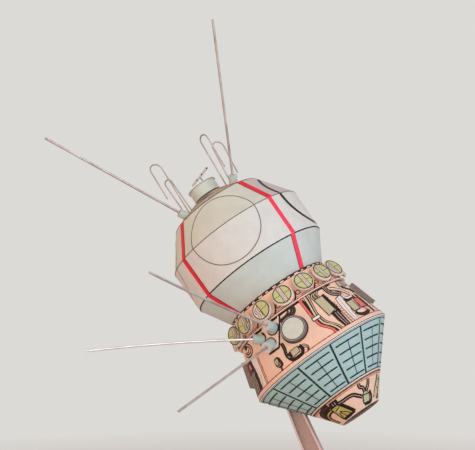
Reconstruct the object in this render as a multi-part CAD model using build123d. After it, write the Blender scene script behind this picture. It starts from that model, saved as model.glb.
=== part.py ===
from build123d import *
from math import atan2, cos, degrees, radians, sin
import os

os.makedirs("parts", exist_ok=True)

# Sizes in millimetres, angles in degrees.
# The craft is drawn about its own long axis: z = 0 at the neck, nose towards +z.
# Azimuths run about that axis; 0 is the side that faces a viewer in front of the stand.

CARD = 0.4                 # thickness of the folded card
FIT = 0.05                 # gap round a wire in its socket

# Folds of the shell, from the nose to the tail: height along the axis, radius
CROWN_TOP_Z, CROWN_TOP_R = 75.0, 7.6
CROWN_Z, CROWN_R = 67.8, 25.0
UPPER_Z, UPPER_R = 50.4, 37.0
LOWER_Z, LOWER_R = 28.8, 36.5
SKIRT_Z, SKIRT_R = 13.3, 27.3
NECK_Z, NECK_R = 0.0, 30.6
RIM_Z, RIM_R = -25.9, 37.9
WAIST_Z, WAIST_R = -47.2, 20.0
TAIL_Z, TAIL_R = -59.0, 10.8

GORES = {"front": -49.0, "right": 41.0, "back": 131.0, "left": 221.0}
GORE_ANGLE = 90.0

CAP_R, CAP_HEIGHT = 7.45, 6.1
LID_R, LID_THICK = 7.9, 0.7
MAST_R, MAST_HEIGHT = 0.4, 4.3
MAST_AZIMUTH, MAST_OFFSET = 90.0, 2.1       # the mast stands off the lid's centre
BAR_R, BAR_LENGTH, BAR_AZIMUTH = 0.35, 17.0, 42.0
SLEEVE_R, SLEEVE_LENGTH, SLEEVE_PITCH = 0.65, 4.4, 5.6

ROD_R = 0.6
ROD_STRAIGHT = 3.0                          # straight end that goes into a socket
SOCKET_BORE = 2.5
CROWN_SOCKET_R, CROWN_SOCKET_HEIGHT = 2.15, 4.2
MODULE_SOCKET_R, MODULE_SOCKET_HEIGHT = 2.7, 4.6
SMALL_SOCKET_R, SMALL_SOCKET_HEIGHT = 2.35, 3.6     # the middle rod's
CROWN_RODS = {                              # azimuth, radius, heading, splay, length, bend
    "left": (-49.3, 19.45, -44.0, 37.2, 79.5, 0.0),
    "right": (46.9, 19.4, 46.4, 38.7, 81.0, 0.0),
}
MODULE_RODS = {                             # azimuth, z, heading, splay, length, bend
    "upper": (-20.1, -4.1, -25.5, 61.5, 82.0, 3.8),
    "middle": (-36.5, -4.6, -74.5, 58.5, 83.0, -5.3),
    "lower": (-29.1, -10.0, -35.5, 97.7, 82.0, 0.0),
}

HOOK_WIRE_R = 0.35
HOOKS = {                                   # azimuth, radius, facing, lean, width, height, free leg
    "left_tall": (-49.2, 16.7, -50.8, -4.0, 7.1, 31.0, 20.0),
    "left_short": (-55.0, 13.4, -108.0, 0.0, 3.9, 20.4, 16.4),
    "right_tall": (48.4, 14.2, 45.7, 6.4, 5.8, 28.1, 20.2),
    "right_short": (51.5, 16.7, 125.0, 9.4, 6.5, 24.5, 19.3),
}

TANK_COUNT, TANK_FIRST, TANK_Z = 16, 3.3, 5.4
TANK_R, TANK_THICK, TANK_STANDOFF = 4.9, 0.5, 2.4
TANK_BACK_R, TANK_BACK_SHIFT = 5.35, 0.35   # larger card behind each disc, and how far it sits off it
TANK_STUB_R = 1.6
TANK_TURNS = {3: -15.0, 13: 20.0}       # discs that sit turned on their stubs, in degrees
RIDGE_WIDTH, RIDGE_HEIGHT = 1.2, 0.9

DRUM_AZIMUTH, DRUM_Z, DRUM_R, DRUM_HEIGHT = -4.9, -11.3, 6.5, 2.0
PLATE_AZIMUTHS = {"right": 84.0, "left": -96.0}
PLATE_Z, PLATE_LENGTH, PLATE_WIDTH, PLATE_HEIGHT = -11.8, 13.2, 10.0, 2.1

TILT = 37.19                                # lean of the craft from upright
BASE_LENGTH, BASE_DEPTH, BASE_THICK = 110.0, 80.0, 5.0
BASE_CORNER_R = 2.0
NECK_X, NECK_HEIGHT = 10.0, 100.0           # centre of the neck above the base's underside
STRUT_LEAN = 24.9
STRUT_TOP_WIDTH, STRUT_FOOT_WIDTH = 7.8, 12.9
STRUT_DEPTH = 3.2
STRUT_WEB, STRUT_FLANGE = 0.8, 1.0
STRUT_MEETS_Z = -38.6                       # where the strut meets the lower cone
STRUT_SLOT_DEPTH = 3.0
STRUT_FIT = 0.1

FRONT = -72.4                               # turns azimuth 0 towards the viewer

CRAFT_PLACE = Pos(NECK_X, 0, NECK_HEIGHT) * Rot(0, -TILT, 0)
UPRIGHT = Vector(sin(radians(TILT)), 0, cos(radians(TILT)))     # the stand's upright, seen from the craft


# ---------- geometry shared by the pieces ----------

def at(azimuth, radius, z):
    """Point on the craft at an azimuth, radius and height."""
    turn = radians(azimuth + FRONT)
    return Vector(radius * cos(turn), radius * sin(turn), z)


def heading(azimuth, polar):
    """Unit vector at an azimuth, and an angle from the nose direction."""
    turn = radians(azimuth + FRONT)
    spread = sin(radians(polar))
    return Vector(spread * cos(turn), spread * sin(turn), cos(radians(polar)))


def cone_radius(z, low, high):
    """Radius of the cone through two (z, radius) folds, at height z."""
    return low[1] + (high[1] - low[1]) * (z - low[0]) / (high[0] - low[0])


def cone_frame(azimuth, z, low, high):
    """Plane on a cone: origin on its surface, z outwards, y up along the slope."""
    slope = (high[1] - low[1]) / (high[0] - low[0])
    polar = 90.0 + degrees(atan2(slope, 1.0))
    origin = at(azimuth, cone_radius(z, low, high), z)
    across = heading(azimuth + 90.0, 90.0)
    return Plane(origin=origin, x_dir=across, z_dir=heading(azimuth, polar))


def turned(points, angle=360.0, start=0.0):
    """Solid turned from (radius, z) points about the long axis."""
    outline = make_face(Polyline([(r, 0, z) for r, z in points], close=True))
    return Rot(0, 0, start + FRONT) * revolve(outline, Axis.Z, angle)


def card_ring(folds, angle=360.0, start=0.0):
    """Card shell through (z, radius) folds, its wall measured across the axis."""
    outside = [(r, z) for z, r in folds]
    inside = [(r - CARD, z) for z, r in reversed(folds)]
    return turned(outside + inside, angle, start)


CROWN_TOP = (CROWN_TOP_Z, CROWN_TOP_R)
CROWN = (CROWN_Z, CROWN_R)
UPPER = (UPPER_Z, UPPER_R)
LOWER = (LOWER_Z, LOWER_R)
SKIRT = (SKIRT_Z, SKIRT_R)
NECK = (NECK_Z, NECK_R)
RIM = (RIM_Z, RIM_R)
WAIST = (WAIST_Z, WAIST_R)
TAIL = (TAIL_Z, TAIL_R)


def shell_body():
    """Everything inside the outer skin, used to fit pieces to its surface."""
    folds = [CROWN_TOP, CROWN, UPPER, LOWER, SKIRT, NECK, RIM, WAIST, TAIL]
    skin = [(r, z) for z, r in folds]
    return turned([(0, CROWN_TOP_Z)] + skin + [(0, TAIL_Z)])


BODY = shell_body()


def post(plane, radius, height, sunk=3.0):
    """Cylinder out of the skin, its foot shaped to the skin."""
    stem = Pos(0, 0, -sunk) * Cylinder(radius, height + sunk, align=(Align.CENTER, Align.CENTER, Align.MIN))
    return plane.location * stem - BODY


# ---------- the return sphere ----------

def crown():
    """Shallow cone over the sphere, closed by a flat round top."""
    return turned([
        (0, CROWN_TOP_Z), (CROWN_TOP_R, CROWN_TOP_Z), (CROWN_R, CROWN_Z),
        (CROWN_R - CARD, CROWN_Z), (CROWN_TOP_R - CARD, CROWN_TOP_Z - CARD), (0, CROWN_TOP_Z - CARD),
    ])


def gore(start):
    """Quarter of the sphere's two upper rings, folded between them."""
    return card_ring([LOWER, UPPER, CROWN], GORE_ANGLE, start)


def skirt():
    """Cone that narrows from the sphere to the tank band."""
    return card_ring([SKIRT, LOWER])


def cap_drum():
    """Round tube on the crown."""
    foot = (CAP_R - CARD, CROWN_TOP_Z)
    top = CROWN_TOP_Z + CAP_HEIGHT
    return turned([foot, (CAP_R, CROWN_TOP_Z), (CAP_R, top), (CAP_R - CARD, top)])


def cap_lid():
    """Flat lid that overhangs the drum."""
    low = CROWN_TOP_Z + CAP_HEIGHT
    return turned([(0, low), (LID_R, low), (LID_R, low + LID_THICK), (0, low + LID_THICK)])


MAST_FOOT_Z = CROWN_TOP_Z + CAP_HEIGHT + LID_THICK
BAR_Z = MAST_FOOT_Z + MAST_HEIGHT + BAR_R


def mast_pin(radius, height):
    """Upright pin where the mast stands on the lid."""
    foot = at(MAST_AZIMUTH, MAST_OFFSET, MAST_FOOT_Z)
    return Pos(foot) * Cylinder(radius, height, align=(Align.CENTER, Align.CENTER, Align.MIN))


def aerial_mast():
    """Pin that stands on the lid."""
    return mast_pin(MAST_R, MAST_HEIGHT)


def bar_frame():
    """Plane at the middle of the crossbar, z along the bar."""
    middle = at(MAST_AZIMUTH, MAST_OFFSET, BAR_Z)
    return Plane(origin=middle, x_dir=(0, 0, 1), z_dir=heading(BAR_AZIMUTH, 90.0))


def aerial_crossbar():
    """Round bar across the top of the mast, seated on it by a flat."""
    bar = bar_frame().location * Cylinder(BAR_R, BAR_LENGTH)
    return bar - mast_pin(MAST_R + FIT, MAST_HEIGHT)


def aerial_sleeves():
    """Three short sleeves on the crossbar."""
    bore = Cylinder(BAR_R + FIT, BAR_LENGTH)
    mast_room = mast_pin(MAST_R + FIT, MAST_HEIGHT + BAR_R)
    sleeves = []
    for side in (-1, 0, 1):
        sleeve = Pos(0, 0, side * SLEEVE_PITCH) * Cylinder(SLEEVE_R, SLEEVE_LENGTH) - bore
        sleeves.append(bar_frame().location * sleeve - mast_room)
    return Compound(sleeves)


# ---------- rods and hooks ----------

def wire_rod(start, direction, length, bend):
    """Wire rod: a straight end, then one long easy curve up or down through bend degrees."""
    across = UPRIGHT - direction * UPRIGHT.dot(direction)
    plane = Plane(origin=start, x_dir=direction, z_dir=direction.cross(across))
    path = Line((0, 0), (ROD_STRAIGHT if bend else length, 0))
    if bend:
        reach = length - ROD_STRAIGHT
        path += JernArc((ROD_STRAIGHT, 0), (1, 0), reach / radians(abs(bend)), bend)
    return sweep(Plane(origin=start, z_dir=direction) * Circle(ROD_R), plane.location * path)


def rod_and_socket(foot, direction, radius, height, length, bend):
    """Drilled post on the skin, and the wire rod that stands in it."""
    plane = Plane(origin=foot, z_dir=direction)
    floor = height - SOCKET_BORE
    low = (Align.CENTER, Align.CENTER, Align.MIN)
    hole = Pos(0, 0, floor) * Cylinder(ROD_R + FIT, SOCKET_BORE * 2, align=low)
    socket = post(plane, radius, height) - plane.location * hole
    return socket, wire_rod(foot + direction * floor, direction, length, bend)


def crown_height(radius):
    """Height of the crown's skin at a radius."""
    share = (radius - CROWN_TOP_R) / (CROWN_R - CROWN_TOP_R)
    return CROWN_TOP_Z + share * (CROWN_Z - CROWN_TOP_Z)


def wire_hook(azimuth, radius, facing, lean, width, height, free_leg):
    """J of thin wire: a long leg on the crown, a round turn, a free leg on the side it faces."""
    root = at(azimuth, radius, crown_height(radius))
    plane = Plane(origin=root, x_dir=heading(facing, 90.0 + lean), z_dir=heading(facing + 90.0, 90.0) * -1)
    straight = height - width / 2
    path = Polyline((0, -1.5), (0, straight)) + RadiusArc((0, straight), (width, straight), width / 2)
    path += Line((width, straight), (width, straight + width / 2 - free_leg))
    path = plane.location * path
    section = Plane(origin=path @ 0, z_dir=path % 0) * Circle(HOOK_WIRE_R)
    return sweep(section, path) - BODY


# ---------- the instrument module ----------

def tank_disc(index):
    """Round tank end: a printed disc on a larger backing disc, held off the band by a stub."""
    azimuth = TANK_FIRST + index * 360.0 / TANK_COUNT
    plane = cone_frame(azimuth, TANK_Z, NECK, SKIRT)
    slip = heading(index * 140.0, 90.0) * TANK_BACK_SHIFT
    low = (Align.CENTER, Align.CENTER, Align.MIN)
    back = Pos(slip.X, slip.Y, 0) * Cylinder(TANK_BACK_R, TANK_THICK, align=low)
    face = Pos(0, 0, TANK_THICK) * Cylinder(TANK_R, TANK_THICK, align=low)
    seat = Pos(0, 0, TANK_STANDOFF) * Rot(0, TANK_TURNS.get(index, 0.0), 0)
    return plane.location * seat * (back + face) + post(plane, TANK_STUB_R, TANK_STANDOFF)


def tank_discs():
    """Row of round tank ends on the band."""
    return Compound([tank_disc(index) for index in range(TANK_COUNT)])


def neck_ridge():
    """Raised lip between the tank band and the module."""
    half = RIDGE_HEIGHT / 2
    inner, outer = NECK_R - 1, NECK_R + RIDGE_WIDTH
    lip = turned([(inner, half), (outer, half / 2), (outer, -half / 2), (inner, -half)])
    return lip - BODY


def round_drum():
    """Low round drum on the module's front."""
    plane = cone_frame(DRUM_AZIMUTH, DRUM_Z, RIM, NECK)
    return post(plane, DRUM_R, DRUM_HEIGHT)


def side_plate(azimuth):
    """Flat plate on the module, its back shaped to the cone."""
    plane = cone_frame(azimuth, PLATE_Z, RIM, NECK)
    block = Pos(0, 0, -2) * Box(
        PLATE_WIDTH, PLATE_LENGTH, PLATE_HEIGHT + 2, align=(Align.CENTER, Align.CENTER, Align.MIN)
    )
    return plane.location * block - BODY


def tail_disc():
    """Round card that closes the tail, set just inside its edge."""
    low = TAIL_Z + 1.0
    radius = cone_radius(low, TAIL, WAIST) - CARD
    high_radius = cone_radius(low + CARD, TAIL, WAIST) - CARD
    return turned([(0, low), (radius, low), (high_radius, low + CARD), (0, low + CARD)])


# ---------- the stand ----------

def strut_top():
    """Point where the middle of the strut meets the underside of the lower cone."""
    under = Vector(-cone_radius(STRUT_MEETS_Z, WAIST, RIM), 0, STRUT_MEETS_Z)
    return (CRAFT_PLACE * Pos(under)).position


def channel(length, grow=0.0):
    """Channel that widens downwards from z = 0, open to the front, its walls thickened by grow."""
    taper = (STRUT_FOOT_WIDTH - STRUT_TOP_WIDTH) / 2 / length

    def flat(half_top, low_y, high_y, over=20.0):
        """Tapered plate between two depths, run on past the top and the foot."""
        top = half_top - taper * over
        foot = half_top + taper * (length + over)
        end = -length - over
        corners = [(-foot, 0, end), (foot, 0, end), (top, 0, over), (-top, 0, over)]
        plate = extrude(make_face(Polyline(corners, close=True)), high_y - low_y, dir=(0, 1, 0))
        return Pos(0, low_y, 0) * plate

    half = STRUT_TOP_WIDTH / 2
    back = STRUT_DEPTH / 2 + grow
    outer = flat(half + grow, -back, back)
    inner = flat(half - STRUT_FLANGE - grow, -back - 1, back - STRUT_WEB - 2 * grow)
    return outer - inner


def stand_pieces():
    """Channel strut fitted to the lower cone, and the base board it is let into."""
    top = strut_top()
    place = Pos(top) * Rot(0, -STRUT_LEAN, 0)
    length = top.Z / cos(radians(STRUT_LEAN))
    slot_floor = BASE_THICK - STRUT_SLOT_DEPTH
    room = Pos(0, 0, slot_floor) * Box(500, 500, 500, align=(Align.CENTER, Align.CENTER, Align.MIN))
    above = place * Pos(0, 0, 12) * Box(300, 300, 300, align=(Align.CENTER, Align.CENTER, Align.MIN))
    strut = (place * channel(length)) & room
    strut = strut - above - CRAFT_PLACE * BODY
    strut = strut.solids().sort_by(Axis.Z)[0]
    board = Box(BASE_LENGTH, BASE_DEPTH, BASE_THICK, align=(Align.CENTER, Align.CENTER, Align.MIN))
    board = fillet(board.edges().filter_by(Axis.Z), BASE_CORNER_R)
    board = board - ((place * channel(length, STRUT_FIT)) & room)
    return strut, board


# ---------- write one file for each piece ----------

def craft_pieces():
    """Every piece of the craft, by name, in the craft's own frame."""
    pieces = {
        "cap_drum": cap_drum(),
        "cap_lid": cap_lid(),
        "aerial_mast": aerial_mast(),
        "aerial_crossbar": aerial_crossbar(),
        "aerial_sleeves": aerial_sleeves(),
        "crown": crown(),
        "skirt": skirt(),
        "tank_band": card_ring([NECK, SKIRT]),
        "tank_discs": tank_discs(),
        "neck_ridge": neck_ridge(),
        "module_cone": card_ring([RIM, NECK]),
        "radiator_cone": card_ring([WAIST, RIM]),
        "tail_cone": card_ring([TAIL, WAIST]),
        "tail_disc": tail_disc(),
        "round_drum": round_drum(),
    }
    for name, start in GORES.items():
        pieces[f"sphere_gore_{name}"] = gore(start)
    for name, (azimuth, radius, aim, splay, length, bend) in CROWN_RODS.items():
        foot = at(azimuth, radius, crown_height(radius))
        size = (CROWN_SOCKET_R, CROWN_SOCKET_HEIGHT)
        socket, rod = rod_and_socket(foot, heading(aim, splay), *size, length, bend)
        pieces[f"crown_socket_{name}"] = socket
        pieces[f"crown_rod_{name}"] = rod
    for name, (azimuth, z, aim, splay, length, bend) in MODULE_RODS.items():
        foot = cone_frame(azimuth, z, RIM, NECK).origin
        size = (MODULE_SOCKET_R, MODULE_SOCKET_HEIGHT)
        if name == "middle":
            size = (SMALL_SOCKET_R, SMALL_SOCKET_HEIGHT)
        socket, rod = rod_and_socket(foot, heading(aim, splay), *size, length, bend)
        pieces[f"module_socket_{name}"] = socket
        pieces[f"module_rod_{name}"] = rod
    for name, sizes in HOOKS.items():
        pieces[f"wire_hook_{name}"] = wire_hook(*sizes)
    for name, azimuth in PLATE_AZIMUTHS.items():
        pieces[f"side_plate_{name}"] = side_plate(azimuth)
    return pieces


def write_parts():
    """Place the craft on its stand and write each piece."""
    for name, piece in craft_pieces().items():
        export_step(CRAFT_PLACE * piece, f"parts/{name}.step")
    strut, board = stand_pieces()
    export_step(strut, "parts/stand_strut.step")
    export_step(board, "parts/stand_base.step")


write_parts()
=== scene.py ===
"""Looks of a card spacecraft model on its stand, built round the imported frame.

The craft is a stack of cones about one leaning axis. Everything printed on the card is a thin
slab of ink that follows the surface it lies on, so a line keeps its width in millimetres.
"""

import logging
import math
from abc import ABC, abstractmethod
from dataclasses import dataclass, field
from enum import Enum

import bmesh
import bpy
import numpy as np
from mathutils import Matrix, Vector


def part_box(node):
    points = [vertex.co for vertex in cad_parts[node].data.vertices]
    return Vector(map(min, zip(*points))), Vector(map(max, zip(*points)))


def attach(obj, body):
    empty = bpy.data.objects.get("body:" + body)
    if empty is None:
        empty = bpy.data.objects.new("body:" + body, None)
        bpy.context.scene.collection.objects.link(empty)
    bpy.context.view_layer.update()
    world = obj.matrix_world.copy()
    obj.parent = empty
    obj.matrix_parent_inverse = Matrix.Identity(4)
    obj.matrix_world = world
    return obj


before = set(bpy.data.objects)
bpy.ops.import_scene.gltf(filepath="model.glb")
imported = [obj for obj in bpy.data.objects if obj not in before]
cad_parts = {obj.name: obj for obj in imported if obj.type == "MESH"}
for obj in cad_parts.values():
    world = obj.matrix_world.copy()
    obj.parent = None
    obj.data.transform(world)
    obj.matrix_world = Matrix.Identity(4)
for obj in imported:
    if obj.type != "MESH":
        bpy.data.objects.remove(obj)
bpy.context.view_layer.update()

LOG = logging.getLogger("card_model")

MM = 0.001                      # scene units are metres
VIEW_TURN = math.radians(21.72)     # the viewer stands this far round from straight ahead
FRONT_TURN = math.radians(-72.4)    # turns craft azimuth 0 towards the viewer
INK_LIFT = 0.035 * MM           # lowest ink above the card
INK_STEP = 0.02 * MM            # each further layer of ink
INK_SUNK = 0.03 * MM            # how far ink slabs reach into the card
CURVE_STEPS = 8                 # samples between two points of a curved line
LOOP_STEPS = 6                  # samples between two corners of a closed line or a patch
PATCH_RINGS = 4                 # steps from a patch's outline to its middle
AROUND_STEP = 2.5               # degrees between points of a line round the craft
LONGEST_RUN = 1.5 * MM          # longest straight run, so that ink follows the card
WAVER_RATE = 1.7                # radians by which a drawn line's waver moves on at each sample
THINNEST = 0.04                 # share of the width left at a tapered end

Tree = bpy.types.NodeTree
Socket = bpy.types.NodeSocket
Number = float | np.ndarray
Points = list | np.ndarray


# ---------- colour and shader helpers ----------

def linear(code: str) -> tuple:
    """Turns an sRGB hex colour into linear light.

    Args:
        code: six hex digits, with or without a leading #.

    Returns:
        Four numbers: red, green, blue and an alpha of 1.
    """
    digits = code.lstrip("#")
    parts = np.array([int(digits[i:i + 2], 16) for i in (0, 2, 4)]) / 255.0
    light = np.where(parts <= 0.04045, parts / 12.92, ((parts + 0.055) / 1.055) ** 2.4)
    return (*light.tolist(), 1.0)


def add_node(tree: Tree, kind: str, settings: dict, links: dict) -> bpy.types.Node:
    """Adds one shader node.

    Args:
        tree: the material's or world's node tree.
        kind: Blender's node type name.
        settings: node attributes by name, and socket values by socket name or number.
        links: socket name or number to the output socket that feeds it.

    Returns:
        The new node.
    """
    node = tree.nodes.new(kind)
    for name, value in settings.items():
        if isinstance(name, str) and hasattr(node, name):
            setattr(node, name, value)
        else:
            node.inputs[name].default_value = value
    for name, source in links.items():
        tree.links.new(source, node.inputs[name])
    return node


def new_material(name: str) -> tuple:
    """Starts an empty material.

    Args:
        name: the material's name.

    Returns:
        The material, its node tree, its output node, and the socket of object coordinates.
    """
    material = bpy.data.materials.new(name)
    material.use_nodes = True
    tree = material.node_tree
    tree.nodes.clear()
    output = tree.nodes.new("ShaderNodeOutputMaterial")
    return material, tree, output, add_node(tree, "ShaderNodeTexCoord", {}, {}).outputs["Object"]


def noise_of(tree: Tree, place: Socket, size_mm: float, detail: float) -> Socket:
    """A noise whose blotches are about size_mm wide, with detail octaves of finer noise."""
    settings = {"Scale": 1.0 / (size_mm * MM), "Detail": detail, "Roughness": 0.6}
    return add_node(tree, "ShaderNodeTexNoise", settings, {"Vector": place}).outputs["Fac"]


def remap(tree: Tree, value: Socket, source: tuple, target: tuple = (0.0, 1.0)) -> Socket:
    """Carries one range of values over to another, and holds it at the ends."""
    settings = dict(zip(("From Min", "From Max", "To Min", "To Max"), (*source, *target)))
    return add_node(tree, "ShaderNodeMapRange", settings, {"Value": value}).outputs[0]


def arithmetic(tree: Tree, operation: str, first: Socket, second: Socket | float,
               third: Socket | None = None) -> Socket:
    """One step of arithmetic in the shader.

    Args:
        tree: the node tree.
        operation: Blender's name for it.
        first: the first term.
        second: the second term, a constant or a socket.
        third: the third term, where the operation takes one.

    Returns:
        The result.
    """
    given = isinstance(second, (int, float))
    links = {0: first, **({} if given else {1: second}), **({2: third} if third else {})}
    settings = {"operation": operation, **({1: second} if given else {})}
    return add_node(tree, "ShaderNodeMath", settings, links).outputs[0]


def blend(tree: Tree, share: Socket, tone: str, other: str) -> Socket:
    """Colour between two sRGB tones, by a share from 0 to 1."""
    settings = {"data_type": "RGBA", 6: linear(tone), 7: linear(other)}
    return add_node(tree, "ShaderNodeMix", settings, {0: share}).outputs[2]


# ---------- the craft's own coordinates ----------

@dataclass(frozen=True)
class CraftAxis:
    """The craft's long axis in the frame: z = 0 at the neck, nose towards +z."""

    origin: np.ndarray
    across: np.ndarray
    side: np.ndarray
    up: np.ndarray

    @classmethod
    def measured(cls) -> "CraftAxis":
        """Finds the axis from the round lid and tail card, and the neck from the tank band."""
        nose = np.array(sum(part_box("cap_lid"), Vector())) / 2
        tail = np.array(sum(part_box("tail_disc"), Vector())) / 2
        up = unit(nose - tail)
        side = np.array([0.0, 1.0, 0.0])
        across = np.cross(side, up)
        heights = (node_points("tank_band") - tail) @ up
        return cls(tail + heights.min() * up, across, side, up)

    def place(self, azimuth: Number, radius: Number, height: Number) -> np.ndarray:
        """Points in the frame from azimuth in degrees, and radius and height in metres."""
        turn = np.radians(azimuth) + FRONT_TURN
        flat = np.cos(turn)[..., None] * self.across + np.sin(turn)[..., None] * self.side
        radius, height = np.asarray(radius)[..., None], np.asarray(height)[..., None]
        return self.origin + radius * flat + height * self.up

    def matrix(self) -> Matrix:
        """The craft's frame as a Blender matrix."""
        columns = np.stack([self.across, self.side, self.up], axis=1)
        return Matrix.Translation(self.origin) @ Matrix(columns.tolist()).to_4x4()


def rows_of(items: bpy.types.bpy_prop_collection, field_name: str) -> np.ndarray:
    """One vector for each vertex or face of a mesh, one row each."""
    values = np.empty(len(items) * 3, np.float32)
    items.foreach_get(field_name, values)
    return values.reshape(-1, 3).astype(float)


def node_points(name: str) -> np.ndarray:
    """A CAD node's vertices, one row each, in metres."""
    return rows_of(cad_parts[name].data.vertices, "co")


def unit(vector: np.ndarray) -> np.ndarray:
    """The vector at length 1."""
    return vector / np.linalg.norm(vector)


@dataclass(frozen=True)
class Band:
    """One cone of the shell between two folds, each a (height, radius) in metres."""

    axis: CraftAxis
    low: tuple
    high: tuple

    @property
    def bottom(self) -> float:
        """Height of the lower fold in mm."""
        return self.low[0] / MM

    @property
    def top(self) -> float:
        """Height of the upper fold in mm."""
        return self.high[0] / MM

    @property
    def ends(self) -> tuple:
        """Heights of both folds in mm."""
        return self.bottom, self.top

    def radius(self, height: Number) -> np.ndarray:
        """Radius at a height: a straight line between the two folds."""
        share = (np.asarray(height) - self.low[0]) / (self.high[0] - self.low[0])
        return self.low[1] + share * (self.high[1] - self.low[1])

    def slope(self) -> float:
        """Change of radius with height."""
        return (self.high[1] - self.low[1]) / (self.high[0] - self.low[0])

    def metric(self, spots: np.ndarray) -> np.ndarray:
        """Metres along the card for one degree of azimuth and one millimetre of height."""
        around = self.radius(spots[:, 1] * MM) * math.pi / 180
        along = np.full(len(spots), MM * math.hypot(1.0, self.slope()))
        return np.stack([around, along], axis=1)

    def circle(self, azimuth: float, height: float, radius: float, start: float = 0.0,
               stop: float = 360.0, count: int = 145) -> np.ndarray:
        """Arc of a circle drawn on the card while it lies flat.

        A cone laid flat is a fan about its apex. Each point of the circle gives a distance from
        the apex and an angle in the fan; the distance gives its height, and the angle divided by
        the sine of the cone's half angle gives its azimuth.

        Args:
            azimuth: the circle's middle, in degrees.
            height: the circle's middle, in mm.
            radius: in mm.
            start: where the arc starts, in degrees; 0 is towards greater azimuth, 90 the nose.
            stop: where it stops.
            count: points.

        Returns:
            The arc's points as azimuth and height.
        """
        steep = math.hypot(1.0, self.slope())
        sine = abs(self.slope()) / steep
        toward = -math.copysign(1.0, self.slope())
        reach = float(self.radius(height * MM)) / MM / sine
        turn = np.radians(np.linspace(start, stop, count))
        across = radius * np.cos(turn)
        depth = reach - toward * radius * np.sin(turn)
        swing = np.degrees(np.arctan2(across, depth)) / sine
        rise = toward * (reach - np.hypot(across, depth)) / steep
        return np.stack([azimuth + swing, height + rise], axis=1)

    def to_space(self, spots: np.ndarray, lift: float) -> np.ndarray:
        """Points at azimuth in degrees and height in mm, lifted off the card along its normal."""
        steep = math.hypot(1.0, self.slope())
        height = spots[:, 1] * MM
        radius = self.radius(height) + lift / steep
        return self.axis.place(spots[:, 0], radius, height - lift * self.slope() / steep)


@dataclass(frozen=True)
class Flat:
    """A flat face: millimetres right and up from its centre."""

    centre: np.ndarray
    right: np.ndarray
    up: np.ndarray

    @classmethod
    def facing(cls, centre: np.ndarray, normal: np.ndarray, right: np.ndarray) -> "Flat":
        """The face with that normal and right."""
        return cls(centre, right, np.cross(normal, right))

    def metric(self, spots: np.ndarray) -> np.ndarray:
        """A millimetre is a millimetre both ways."""
        return np.full((len(spots), 2), MM)

    def to_space(self, spots: np.ndarray, lift: float) -> np.ndarray:
        """Points on the face, lifted off it."""
        normal = np.cross(self.right, self.up)
        return self.centre + MM * (spots[:, :1] * self.right + spots[:, 1:] * self.up) + lift * normal


Sheet = Band | Flat


def outer_folds(axis: CraftAxis, name: str) -> list:
    """Folds of a turned CAD node: (height, radius) at its ends and at its widest ring.

    Args:
        axis: the craft's axis.
        name: the CAD node.

    Returns:
        The folds from the lowest to the highest, without repeats.
    """
    points = node_points(name) - axis.origin
    height = points @ axis.up
    radius = np.linalg.norm(points - height[:, None] * axis.up, axis=1)
    slack = 0.05 * MM
    picks = [height.min(), height[radius.argmax()], height.max()]
    folds = []
    for level in picks:
        near = np.abs(height - level) < slack
        fold = (float(height[near].mean()), float(radius[near].max()))
        if not folds or fold[0] - folds[-1][0] > slack:
            folds.append(fold)
    return folds


def cone_of(axis: CraftAxis, name: str) -> Band:
    """The cone of a turned CAD node that has no fold between its ends."""
    folds = outer_folds(axis, name)
    return Band(axis, folds[0], folds[-1])


# ---------- ink: thin slabs that follow a surface ----------

def curved(route: np.ndarray, steps: int) -> np.ndarray:
    """Smooth line through a route's points.

    Each span is a Catmull-Rom cubic: it leaves a point parallel to the line between that
    point's two neighbours.

    Args:
        route: the points, one row each.
        steps: samples in each span.

    Returns:
        The sampled line, ending on the last point.
    """
    ends = np.vstack([2 * route[0] - route[1], route, 2 * route[-1] - route[-2]])
    before, start, stop, after = ends[:-3], ends[1:-2], ends[2:-1], ends[3:]
    t = np.linspace(0, 1, steps, endpoint=False)[None, :, None]
    before, start, stop, after = (p[:, None, :] for p in (before, start, stop, after))
    line = 0.5 * (
        2 * start + (stop - before) * t
        + (2 * before - 5 * start + 4 * stop - after) * t ** 2
        + (3 * start - before - 3 * stop + after) * t ** 3
    )
    return np.vstack([line.reshape(-1, 2), route[-1:]])


def straight(route: np.ndarray, steps: int) -> np.ndarray:
    """Straight runs through a route's points, each cut into a number of steps."""
    t = np.linspace(0, 1, steps, endpoint=False)[None, :, None]
    line = route[:-1, None, :] * (1 - t) + route[1:, None, :] * t
    return np.vstack([line.reshape(-1, 2), route[-1:]])


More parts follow.
